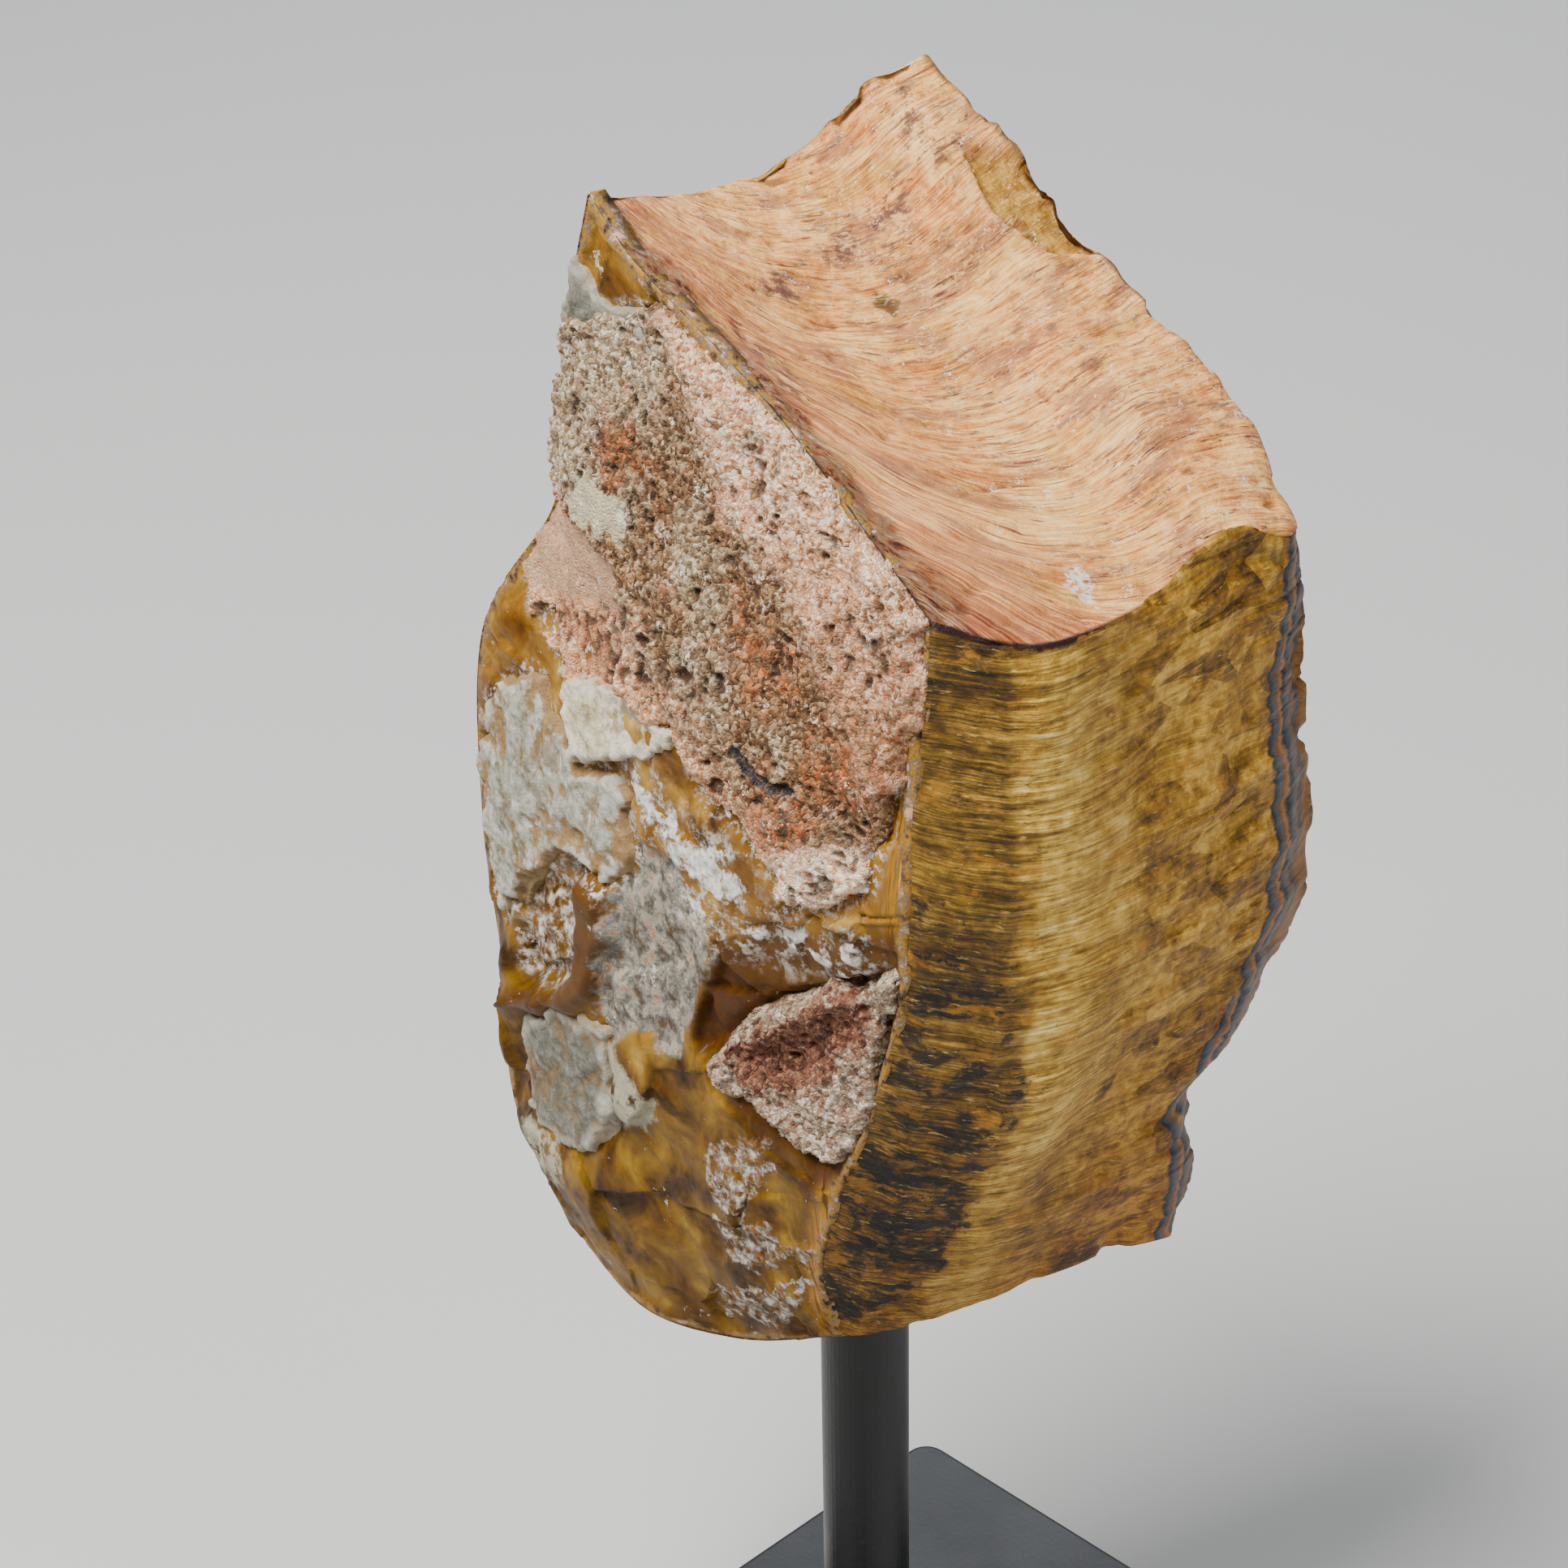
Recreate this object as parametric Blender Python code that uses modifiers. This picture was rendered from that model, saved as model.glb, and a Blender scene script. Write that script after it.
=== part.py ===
"""Rough tiger's eye on a display stand: a hand-sized lump of vein stone carried on an upright round rod.

The stone is a slab broken out of a vein. Its fibres run from one vein wall to the other, so the broken top
and front are silky and fibrous. The left wall is massive jasper with pink crust and chalk grown on it, and
the right wall ends in thin bands. The rod stands in a drilled blind hole under the stone and on the middle
of a flat rectangular plate.

World axes: +Z is up, the plate's long side lies along X, and the origin is on the plate's underside, on the
rod's axis.
"""

import math

import bmesh
import bpy
import numpy as np

MM = 0.001
COLLECTION_NAME = "rough_tigers_eye"
CUTTER_COLLECTION_NAME = "cutters"

# Stand
PLATE_LENGTH = 80 * MM
PLATE_WIDTH = 60 * MM
PLATE_THICKNESS = 5 * MM
PLATE_CORNER_RADIUS = 2.5 * MM
PLATE_CORNER_SEGMENTS = 6
PLATE_EDGE_RADIUS = 0.6 * MM
PLATE_EDGE_SEGMENTS = 3
PLATE_SHARP_ANGLE = math.radians(60)
ROD_DIAMETER = 8 * MM
ROD_TOP = 96 * MM
HOLE_FOOT = 50 * MM
ROD_SIDES = 48
TOUCH_GAP = 0.3 * MM

# Looks
STONE_COLOUR = (0.36, 0.20, 0.07)
STONE_ROUGHNESS = 0.5
ROD_COLOUR = (0.012, 0.012, 0.013)
PLATE_COLOUR = (0.014, 0.015, 0.017)
PAINT_ROUGHNESS = 0.42

# Stone, in its own axes: u along the fibres, v from the front face to the back, z up from the table
STONE_TURN = math.radians(-14.25)
STONE_ALONG = 46
STONE_ACROSS = 48
STONE_HEIGHT = 90
GRID_STEP = 1.0
STONE_TRIANGLES = 8600

# The stone's upright lines, each from the rim down to the underside, in millimetres (u, v, z)
NEAR_EDGE = (
    (-8.5, -24, 144), (-9.5, -25, 138.5), (-11, -25.5, 129.5), (-11.5, -26, 120.5), (-12, -25, 110.5),
    (-13.5, -22.5, 99.5), (-14.5, -19.5, 90.5), (-14, -16.5, 81.5), (-11, -14.5, 72.5),
)
FOLD = (
    (-2, -27.5, 142), (-1.5, -28.5, 136.5), (-1, -29, 128), (-1.5, -29, 119), (-1.5, -28.5, 109.5),
    (-2, -27, 99), (-3, -24.5, 90.5), (-3, -21.5, 82), (-2.5, -17, 73),
)
FRONT_MIDDLE = (
    (11.5, -24, 140.5), (12, -24.5, 135), (12, -25, 127), (12, -26, 118.5), (11.5, -26.5, 109.5),
    (9.5, -25, 99.5), (7, -23.5, 91), (7, -22, 83), (7.5, -19, 74.5),
)
FRONT_RIGHT = (
    (21.5, -20.5, 142.5), (21.5, -21.5, 136), (21, -22.5, 127.5), (21, -23, 118.5), (20.5, -24, 109),
    (17.5, -23.5, 99), (13.5, -22.5, 90.5), (13.5, -21.5, 82.5), (13.5, -19, 74.5),
)
BAND_START = (
    (28.5, -19.5, 139.5), (28, -20, 133), (27, -20.5, 124.5), (27.5, -21.5, 116), (27, -22, 107.5),
    (23, -22.5, 98), (18, -21.5, 90), (18.5, -21, 82.5), (19, -19, 74),
)
BAND_END = (
    (31, -17, 139), (31.5, -18, 132), (31.5, -18, 123.5), (32.5, -18.5, 115), (32, -19, 106),
    (27.5, -19, 96.5), (21, -18.5, 88), (22, -18.5, 80.5), (21, -17, 72.5),
)
RIGHT_NEAR = (
    (30.5, -8, 147), (31.5, -8.5, 139), (32, -8.5, 129), (32.5, -9, 119), (31.5, -9, 109),
    (28, -9, 98), (22, -9, 89), (22, -9, 80), (20, -8, 71.5),
)
RIGHT_WALL = (
    (27.5, 4, 154), (28.5, 4.5, 147), (29.5, 5, 136), (30, 5, 124.5), (29.5, 5, 112),
    (26.5, 5, 100), (21.5, 5, 90), (20.5, 4, 80), (17.5, 3, 70),
)
RIGHT_FAR = (
    (24.5, 13.5, 161.5), (25.5, 14.5, 154), (26.5, 15.5, 143), (27.5, 16, 130), (27, 16.5, 117),
    (24.5, 16.5, 103.5), (20.5, 16, 92.5), (18.5, 14, 81.5), (15.5, 10, 70.5),
)
PEAK = (
    (20.5, 23, 168.5), (21.5, 24.5, 161), (22.5, 26, 150), (23.5, 27.5, 136.5), (23.5, 28, 123),
    (22, 28, 108.5), (19, 27, 95.5), (16, 23.5, 83), (12, 17, 71.5),
)
BACK_RIGHT = (
    (14.5, 22, 167.5), (15, 24, 160), (16, 26.5, 149), (16.5, 28.5, 135.5), (16.5, 29.5, 122),
    (15.5, 29.5, 107), (13, 28.5, 94.5), (10.5, 24.5, 82), (8, 18, 70.5),
)
BACK_MIDDLE = (
    (8, 20.5, 164), (8.5, 23, 157), (9, 26, 145.5), (9, 28.5, 133), (9, 30, 119.5),
    (8, 30.5, 105.5), (6.5, 29, 93), (4, 25, 80.5), (2.5, 18.5, 69.5),
)
BACK_LEFT = (
    (0, 19, 163), (0, 22, 156), (0.5, 25, 144.5), (0.5, 28, 132), (0, 30, 118.5),
    (-0.5, 30.5, 104.5), (-1.5, 29, 92), (-3, 25, 79.5), (-4, 18, 68.5),
)
FAR_EDGE = (
    (-15, 15.5, 166), (-16, 17, 158), (-16.5, 19, 146), (-17, 20.5, 137.5), (-20.5, 28, 124),
    (-21, 29.5, 105), (-20.5, 28.5, 90.5), (-21, 26.5, 76), (-19.5, 19.5, 66),
)
LEFT_WALL_FAR = (
    (-14, 8, 161.5), (-15, 8, 154), (-17.5, 8, 142), (-19.5, 9, 130), (-21, 9.5, 116),
    (-21.5, 10, 102), (-22, 9.5, 89), (-21.5, 8.5, 75.5), (-18.5, 6, 64.5),
)
LEFT_WALL_NEAR = (
    (-11, -5, 155), (-13, -5.5, 147.5), (-16, -5.5, 136.5), (-18.5, -6, 125), (-19, -5, 112),
    (-19, -4, 98.5), (-18.5, -2.5, 86.5), (-17.5, -1, 75), (-14, -1, 64.5),
)
FRONT_LINES = (NEAR_EDGE, FOLD, FRONT_MIDDLE, FRONT_RIGHT, BAND_START, BAND_END)
RIGHT_LINES = (BAND_END, RIGHT_NEAR, RIGHT_WALL, RIGHT_FAR, PEAK)
BACK_LINES = (PEAK, BACK_RIGHT, BACK_MIDDLE, BACK_LEFT, FAR_EDGE)
LEFT_LINES = (FAR_EDGE, LEFT_WALL_FAR, LEFT_WALL_NEAR, NEAR_EDGE)

TOP_DIP = 1.5
UNDERSIDE_SAG = 3.5

# What has grown on the left wall or broken out of it, outlined on the wall in millimetres (v, z)
BIG_CRUST = (
    (17, 155), (11, 157.5), (6, 159.5), (1.5, 157), (-5, 154.5), (-13, 150.5), (-18, 147.5), (-23.5, 144),
    (-24.5, 139), (-24, 131.5), (-22.5, 125), (-22, 121.5), (-20.5, 120), (-15.5, 117.5), (-14, 120),
    (-11.5, 123), (-8, 123.5), (-2.5, 128), (4, 128), (14.5, 126.5), (21.5, 129), (22.5, 131.5),
    (20, 141), (19, 147),
)
CRUST_STEP = ((24, 140.5), (19.5, 140.5), (12, 140), (7, 138), (5, 134.5), (4, 128), (14.5, 126.5), (24, 129))
SMALL_CRUST = (
    (-8.5, 101), (-10, 104.5), (-14.5, 107.5), (-19.5, 111), (-24.5, 114), (-25, 111.5), (-23.5, 107),
    (-23.5, 103.5), (-22, 98.5), (-19.5, 95.5), (-15.5, 95), (-13, 96), (-8.5, 97), (-7.5, 98),
)
CHALK_SHEET = (
    (26, 118), (20, 123.5), (14, 125), (7, 125.5), (2, 127), (-3, 127), (-1.5, 124), (3.5, 121), (3.5, 118),
    (2.5, 114), (4.5, 111), (7.5, 110), (12, 109.5), (18, 107), (22, 102), (28, 97.5), (29, 102), (27, 110.5),
)
LOW_CHALK = (
    (22, 88.5), (12.5, 94.5), (7, 95), (5.5, 91), (1, 90.5), (2, 87.5), (7.5, 82.5), (13.5, 79.5),
    (21.5, 78.5), (22.5, 82.5),
)
OVAL_HOLLOW = (
    (22, 102), (13.5, 108.5), (9, 108.5), (9.5, 103.5), (12.5, 98), (17.5, 94), (23.5, 93.5), (25, 96.5),
)
FIN = ((9.5, 107.5), (5.5, 109.5), (6.5, 105), (8, 100), (10.5, 95.5), (12.5, 97), (9.5, 102.5))
MILKY_FACET = (
    (4.5, 109.5), (0.5, 112.5), (-5, 113.5), (-6, 110), (-4.5, 104), (-2, 98), (2.5, 95.5), (6.5, 97),
    (7, 102.5),
)
CHIPPED_RECESS = (
    (-11, 115), (-26, 120), (-30, 114), (-30, 92), (-22, 92), (-14, 92), (-6, 95), (-5, 102), (-8, 108),
)
# Heights of the relief on the left wall, in millimetres
CRUST_RISE = 1.1
CRUST_STEP_DROP = 0.9
SMALL_CRUST_RISE = 2.0
SMALL_CRUST_HOLLOW = 1.1
CHALK_RISE = 0.7
LOW_CHALK_RISE = 0.6
OVAL_DEPTH = 1.6
FIN_RISE = 1.8
FACET_DEPTH = 0.7
RECESS_DEPTH = 1.6
# Half the width over which each of them rises or falls
CRUST_EDGE = 0.5
CHALK_EDGE = 0.4
OVAL_EDGE = 1.5
FACET_EDGE = 0.8
RECESS_EDGE = 0.6
HOLE_EDGE = 0.4
SMALL_CRUST_RIM = 1
SMALL_CRUST_MIDDLE = 5
DARK_HOLE = (18, 129)
DARK_HOLE_RADIUS = 1.3
DARK_HOLE_DEPTH = 2.0
# The ochre chip in the top's right rim, in millimetres (u, v)
RIM_CHIP = ((20, 15), (27, 15), (29, 6), (22.5, 6.5), (20, 10))
RIM_CHIP_DEPTH = 1.3
RIM_CHIP_EDGE = 0.5
# Lumps on each face: height, spacing and seed
CRUST_LUMPS = ((0.45, 5, 1), (0.25, 2.2, 2))
SMALL_CRUST_LUMPS = ((0.4, 3, 3),)
CHALK_LUMPS = ((0.3, 3.5, 4),)
WALL_LUMPS = ((0.5, (7, 7, 5), 5),)
TOP_LUMPS = ((0.35, (11, 2.6, 5), 6),)
BROKEN_LUMPS = ((0.3, (12, 12, 2.8), 7), (0.35, 6, 8))
# How far outlines wander from their drawn line, and over what length
OUTLINE_WANDER = 0.6
RIM_CHIP_WANDER = 0.5
WANDER_LENGTH = 3
# The faces' borders, as the outward direction's share along an axis
LEFT_FROM, LEFT_FULL = 0.35, 0.8
TOP_FROM, TOP_FULL = 0.4, 0.8


def smooth_through(knots, values, at):
    """Values read at the given places from a smooth curve through the knots."""
    knots = np.asarray(knots, float)
    values = np.asarray(values, float)
    steps = np.diff(knots)
    slopes = np.diff(values, axis=0) / steps.reshape(-1, *[1] * (values.ndim - 1))
    tangents = np.empty_like(values)
    tangents[0] = slopes[0]
    tangents[-1] = slopes[-1]
    for i in range(1, len(knots) - 1):
        before, after = steps[i - 1], steps[i]
        tangents[i] = (slopes[i - 1] * after + slopes[i] * before) / (before + after)
    cell = np.clip(np.searchsorted(knots, at, side="right") - 1, 0, len(steps) - 1)
    shape = (-1, *[1] * (values.ndim - 1))
    length = steps[cell].reshape(shape)
    t = ((at - knots[cell]) / steps[cell]).reshape(shape)
    start, end = values[cell], values[cell + 1]
    return (
        start * (2 * t**3 - 3 * t**2 + 1)
        + tangents[cell] * length * (t**3 - 2 * t**2 + t)
        + end * (3 * t**2 - 2 * t**3)
        + tangents[cell + 1] * length * (t**3 - t**2)
    )


def side_grid(lines, across, down):
    """One side of the stone as a grid of points: (across + 1) points along it, (down + 1) from rim to foot."""
    lines = np.asarray(lines, float)
    middle = lines[:, lines.shape[1] // 2]
    spans = np.linalg.norm(np.diff(middle, axis=0), axis=1)
    knots = np.concatenate([[0.0], np.cumsum(spans)])
    heights = np.linspace(0, lines.shape[1] - 1, down + 1)
    upright = smooth_through(np.arange(lines.shape[1]), lines.transpose(1, 0, 2), heights)
    places = np.linspace(0, knots[-1], across + 1)
    return smooth_through(knots, upright.transpose(1, 0, 2), places)


def patch_between(front, right, back, left):
    """A grid filling four edge curves, blended from all of them."""
    along = np.linspace(0, 1, len(front))[:, None, None]
    depth = np.linspace(0, 1, len(right))[None, :, None]
    back = back[::-1]
    left = left[::-1]
    ruled_depth = front[:, None] * (1 - depth) + back[:, None] * depth
    ruled_along = left[None] * (1 - along) + right[None] * along
    corners = (
        front[0] * (1 - along) * (1 - depth)
        + front[-1] * along * (1 - depth)
        + back[0] * (1 - along) * depth
        + back[-1] * along * depth
    )
    return ruled_depth + ruled_along - corners


def build_base(step):
    """The bare lump: points and quads of a closed grid, before any relief."""
    across_front = round(STONE_ALONG / step)
    across_side = round(STONE_ACROSS / step)
    down = round(STONE_HEIGHT / step)
    front = side_grid(FRONT_LINES, across_front, down)
    right = side_grid(RIGHT_LINES, across_side, down)
    back = side_grid(BACK_LINES, across_front, down)
    left = side_grid(LEFT_LINES, across_side, down)
    band = np.concatenate([front[:-1], right[:-1], back[:-1], left[:-1]])
    ring = len(band)
    rows = down + 1
    points = [band.reshape(-1, 3)]
    quads = []
    for i in range(ring):
        j = (i + 1) % ring
        for k in range(down):
            quads.append((i * rows + k, i * rows + k + 1, j * rows + k + 1, j * rows + k))
    offset = ring * rows
    for row, sink, facing_up in ((0, TOP_DIP, True), (down, UNDERSIDE_SAG, False)):
        patch = patch_between(front[:, row], right[:, row], back[:, row], left[:, row])
        a = np.linspace(-1, 1, across_front + 1)[:, None]
        b = np.linspace(-1, 1, across_side + 1)[None, :]
        patch[..., 2] -= sink * (1 - a**2) * (1 - b**2)
        index = np.empty(patch.shape[:2], int)
        index[:, 0] = np.arange(across_front + 1) * rows + row
        index[-1, :] = (across_front + np.arange(across_side + 1)) * rows + row
        index[:, -1] = (across_front * 2 + across_side - np.arange(across_front + 1)) * rows + row
        index[0, :] = ((ring - np.arange(across_side + 1)) % ring) * rows + row
        inner = patch[1:-1, 1:-1]
        index[1:-1, 1:-1] = offset + np.arange(inner[..., 0].size).reshape(inner.shape[:2])
        offset += inner[..., 0].size
        points.append(inner.reshape(-1, 3))
        for i in range(across_front):
            for j in range(across_side):
                quad = (index[i, j], index[i + 1, j], index[i + 1, j + 1], index[i, j + 1])
                quads.append(quad if facing_up else quad[::-1])
    return np.concatenate(points), np.asarray(quads)


def smooth_step(low, high, value):
    """0 below low, 1 above high, and a smooth rise between them."""
    t = np.clip((value - low) / (high - low), 0, 1)
    return t * t * (3 - 2 * t)


def depth_inside(places, outline):
    """How far each place lies inside a closed outline; negative outside it."""
    corners = np.asarray(outline, float)
    nearest = np.full(len(places), np.inf)
    crossings = np.zeros(len(places), int)
    for start, end in zip(corners, np.roll(corners, -1, axis=0)):
        edge = end - start
        offset = places - start
        share = np.clip(offset @ edge / (edge @ edge), 0, 1)
        nearest = np.minimum(nearest, np.linalg.norm(offset - share[:, None] * edge, axis=1))
        spans = (start[1] <= places[:, 1]) != (end[1] <= places[:, 1])
        crossings += spans & (edge[0] * offset[:, 1] * np.sign(edge[1]) > offset[:, 0] * abs(edge[1]))
    return np.where(crossings % 2 == 1, nearest, -nearest)


def scattered(cells, seed):
    """A repeatable number from -1 to 1 for each whole-numbered cell."""
    mixed = cells[..., 0] * 73856093 ^ cells[..., 1] * 19349663 ^ cells[..., 2] * 83492791 ^ seed * 40503
    mixed = (mixed ^ (mixed >> 13)) * 1274126177
    mixed = (mixed ^ (mixed >> 16)) & 0xFFFF
    return mixed / 0x7FFF - 1


def lumps(points, size, seed):
    """Smooth random lumps between about -1 and 1; size is their spacing, one number or one for each axis."""
    scaled = points / np.asarray(size, float)
    cell = np.floor(scaled).astype(np.int64)
    t = scaled - cell
    t = t * t * t * (t * (t * 6 - 15) + 10)
    total = np.zeros(len(points))
    for corner in np.ndindex(2, 2, 2):
        weight = np.prod(np.where(corner, t, 1 - t), axis=1)
        total += weight * scattered(cell + np.array(corner), seed)
    return total


def grid_normals(points, quads):
    """The outward direction at each point of a closed grid of quads."""
    across = points[quads[:, 2]] - points[quads[:, 0]]
    along = points[quads[:, 3]] - points[quads[:, 1]]
    facing = np.cross(across, along)
    normals = np.zeros_like(points)
    for corner in range(4):
        np.add.at(normals, quads[:, corner], facing)
    return normals / np.linalg.norm(normals, axis=1, keepdims=True)


def lumpy(points, layers):
    """Layers of smooth lumps added together, in millimetres."""
    return sum(height * lumps(points, spacing, seed) for height, spacing, seed in layers)


def relief(points, normals):
    """How far the surface stands out from the bare lump at each point, in millimetres."""
    on_left = smooth_step(LEFT_FROM, LEFT_FULL, -normals[:, 0])
    on_top = smooth_step(TOP_FROM, TOP_FULL, normals[:, 2])
    astray = [lumps(points, WANDER_LENGTH, seed) for seed in (11, 12, 13, 14)]
    wall_place = points[:, 1:] + OUTLINE_WANDER * np.stack(astray[:2], axis=1)
    top_place = points[:, :2] + RIM_CHIP_WANDER * np.stack(astray[2:], axis=1)

    def patch(outline, edge):
        """1 inside an outline on the left wall, 0 outside it."""
        return smooth_step(-edge, edge, depth_inside(wall_place, outline))

    big = patch(BIG_CRUST, CRUST_EDGE)
    hollow = smooth_step(SMALL_CRUST_RIM, SMALL_CRUST_MIDDLE, depth_inside(wall_place, SMALL_CRUST))
    from_hole = np.linalg.norm(points[:, 1:] - DARK_HOLE, axis=1)
    wall = (
        big * (CRUST_RISE + lumpy(points, CRUST_LUMPS))
        - CRUST_STEP_DROP * big * patch(CRUST_STEP, CHALK_EDGE)
        - DARK_HOLE_DEPTH * smooth_step(-HOLE_EDGE, HOLE_EDGE, DARK_HOLE_RADIUS - from_hole)
        + patch(SMALL_CRUST, CRUST_EDGE)
        * (SMALL_CRUST_RISE - SMALL_CRUST_HOLLOW * hollow + lumpy(points, SMALL_CRUST_LUMPS))
        + patch(CHALK_SHEET, CHALK_EDGE) * (CHALK_RISE + lumpy(points, CHALK_LUMPS))
        + patch(LOW_CHALK, CHALK_EDGE) * LOW_CHALK_RISE
        - patch(OVAL_HOLLOW, OVAL_EDGE) * OVAL_DEPTH
        + patch(FIN, FACET_EDGE) * FIN_RISE
        - patch(MILKY_FACET, FACET_EDGE) * FACET_DEPTH
        - patch(CHIPPED_RECESS, RECESS_EDGE) * RECESS_DEPTH
        + (1 - big) * lumpy(points, WALL_LUMPS)
    )
    chip = smooth_step(-RIM_CHIP_EDGE, RIM_CHIP_EDGE, depth_inside(top_place, RIM_CHIP))
    top = lumpy(points, TOP_LUMPS) - RIM_CHIP_DEPTH * chip
    sides = lumpy(points, BROKEN_LUMPS) * (1 - on_left) + wall * on_left
    return sides * (1 - on_top) + top * on_top


def new_material(name, colour, roughness):
    """A Principled material for one piece; nothing on the object is metallic to the eye."""
    material = bpy.data.materials.new(name)
    material.use_nodes = True
    shader = material.node_tree.nodes["Principled BSDF"]
    shader.inputs["Base Color"].default_value = (*colour, 1.0)
    shader.inputs["Roughness"].default_value = roughness
    shader.inputs["Metallic"].default_value = 0.0
    return material


def put_in(obj, collection):
    """Move an object out of every other collection and into this one."""
    for other in list(obj.users_collection):
        other.objects.unlink(obj)
    collection.objects.link(obj)


def new_cylinder(name, diameter, bottom, top, collection):
    """An upright round bar on the Z axis."""
    bpy.ops.mesh.primitive_cylinder_add(
        vertices=ROD_SIDES, radius=diameter / 2, depth=top - bottom, location=(0, 0, (top + bottom) / 2)
    )
    bar = bpy.context.object
    bar.name = name
    bar.data.name = name
    put_in(bar, collection)
    return bar


def build_stone(collection, cutters):
    """The lump of stone, with its drilled hole."""
    points, quads = build_base(GRID_STEP)
    normals = grid_normals(points, quads)
    points = (points + normals * relief(points, normals)[:, None]) * MM
    mesh = bpy.data.meshes.new("stone")
    mesh.from_pydata(points.tolist(), [], quads.tolist())
    mesh.materials.append(new_material("golden_stone", STONE_COLOUR, STONE_ROUGHNESS))
    stone = bpy.data.objects.new("stone", mesh)
    collection.objects.link(stone)
    stone.rotation_euler.z = STONE_TURN
    for polygon in mesh.polygons:
        polygon.use_smooth = True

    thin = stone.modifiers.new("thin", "DECIMATE")
    thin.use_collapse_triangulate = True
    thin.ratio = STONE_TRIANGLES / (2 * len(quads))

    hole = new_cylinder("stone_hole", ROD_DIAMETER + 2 * TOUCH_GAP, HOLE_FOOT, ROD_TOP + TOUCH_GAP, cutters)
    hole.hide_render = True
    hole.display_type = "WIRE"
    drill = stone.modifiers.new("drill", "BOOLEAN")
    drill.operation = "DIFFERENCE"
    drill.solver = "EXACT"
    drill.object = hole


def build_rod(collection):
    """The upright round rod, from the plate's face up into the stone."""
    rod = new_cylinder("rod", ROD_DIAMETER, PLATE_THICKNESS + TOUCH_GAP, ROD_TOP, collection)
    rod.data.materials.append(new_material("black_satin_rod", ROD_COLOUR, PAINT_ROUGHNESS))
    for polygon in rod.data.polygons:
        polygon.use_smooth = abs(polygon.normal.z) < 0.5


def build_plate(collection):
    """The flat plate with rounded upright corners and softened edges."""
    bpy.ops.mesh.primitive_cube_add(size=1, location=(0, 0, PLATE_THICKNESS / 2))
    plate = bpy.context.object
    plate.name = "base_plate"
    plate.data.name = "base_plate"
    plate.scale = (PLATE_LENGTH, PLATE_WIDTH, PLATE_THICKNESS)
    bpy.ops.object.transform_apply(location=False, rotation=False, scale=True)
    put_in(plate, collection)
    shape = bmesh.new()
    shape.from_mesh(plate.data)
    upright = [
        edge for edge in shape.edges if abs(edge.verts[0].co.z - edge.verts[1].co.z) > PLATE_THICKNESS / 2
    ]
    bmesh.ops.bevel(
        shape,
        geom=upright,
        offset=PLATE_CORNER_RADIUS,
        segments=PLATE_CORNER_SEGMENTS,
        profile=0.5,
        affect="EDGES",
    )
    shape.to_mesh(plate.data)
    shape.free()
    soften = plate.modifiers.new("soften", "BEVEL")
    soften.width = PLATE_EDGE_RADIUS
    soften.segments = PLATE_EDGE_SEGMENTS
    soften.limit_method = "ANGLE"
    soften.angle_limit = PLATE_SHARP_ANGLE
    plate.data.materials.append(new_material("black_satin_plate", PLATE_COLOUR, PAINT_ROUGHNESS))


def main():
    """Clears the scene, then builds the stone, the rod and the plate."""
    for obj in list(bpy.data.objects):
        bpy.data.objects.remove(obj, do_unlink=True)
    collection = bpy.data.collections.new(COLLECTION_NAME)
    bpy.context.scene.collection.children.link(collection)
    cutters = bpy.data.collections.new(CUTTER_COLLECTION_NAME)
    bpy.context.scene.collection.children.link(cutters)
    build_stone(collection, cutters)
    build_rod(collection)
    build_plate(collection)


main()
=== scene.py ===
"""The looks of the rough tiger's eye on its rod stand.

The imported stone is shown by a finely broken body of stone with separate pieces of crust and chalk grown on
its left wall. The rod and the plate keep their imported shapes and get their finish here. Lengths in the
stone's own forms are in millimetres along u (with the fibres), v (from the front face to the back) and z
(up from the table); meshes are in metres.
"""

from __future__ import annotations

import logging
import math
from dataclasses import dataclass
from enum import Enum
from functools import reduce
from itertools import product
from typing import ClassVar

import bpy
import numpy as np
from bpy.types import Material, Mesh, Node, NodeSocket, NodeTree, Object
from mathutils import Matrix, Vector


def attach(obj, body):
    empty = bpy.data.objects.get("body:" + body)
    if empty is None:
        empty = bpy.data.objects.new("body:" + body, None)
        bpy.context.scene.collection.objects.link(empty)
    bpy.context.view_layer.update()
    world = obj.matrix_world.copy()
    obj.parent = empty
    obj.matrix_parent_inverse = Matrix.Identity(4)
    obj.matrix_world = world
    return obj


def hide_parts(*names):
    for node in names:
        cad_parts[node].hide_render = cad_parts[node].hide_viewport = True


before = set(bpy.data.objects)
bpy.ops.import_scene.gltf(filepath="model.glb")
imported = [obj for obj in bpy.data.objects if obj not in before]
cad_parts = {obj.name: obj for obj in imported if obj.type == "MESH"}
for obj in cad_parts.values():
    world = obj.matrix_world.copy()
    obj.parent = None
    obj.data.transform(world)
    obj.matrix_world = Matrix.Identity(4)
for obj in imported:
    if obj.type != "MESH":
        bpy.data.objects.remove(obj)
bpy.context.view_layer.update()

log = logging.getLogger("rough_tigers_eye")

MM = 0.001
STONE_TURN = math.radians(-14.25)
PIGMENT_DEPTH = 1.3
# Steps between the points of each upright line
STATIONS = 8

Place = tuple[float, float]
Point = tuple[float, float, float]
Line = tuple[Point, ...]
Outline = tuple[Place, ...]
Colour = tuple[float, float, float]
Array = np.ndarray

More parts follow.
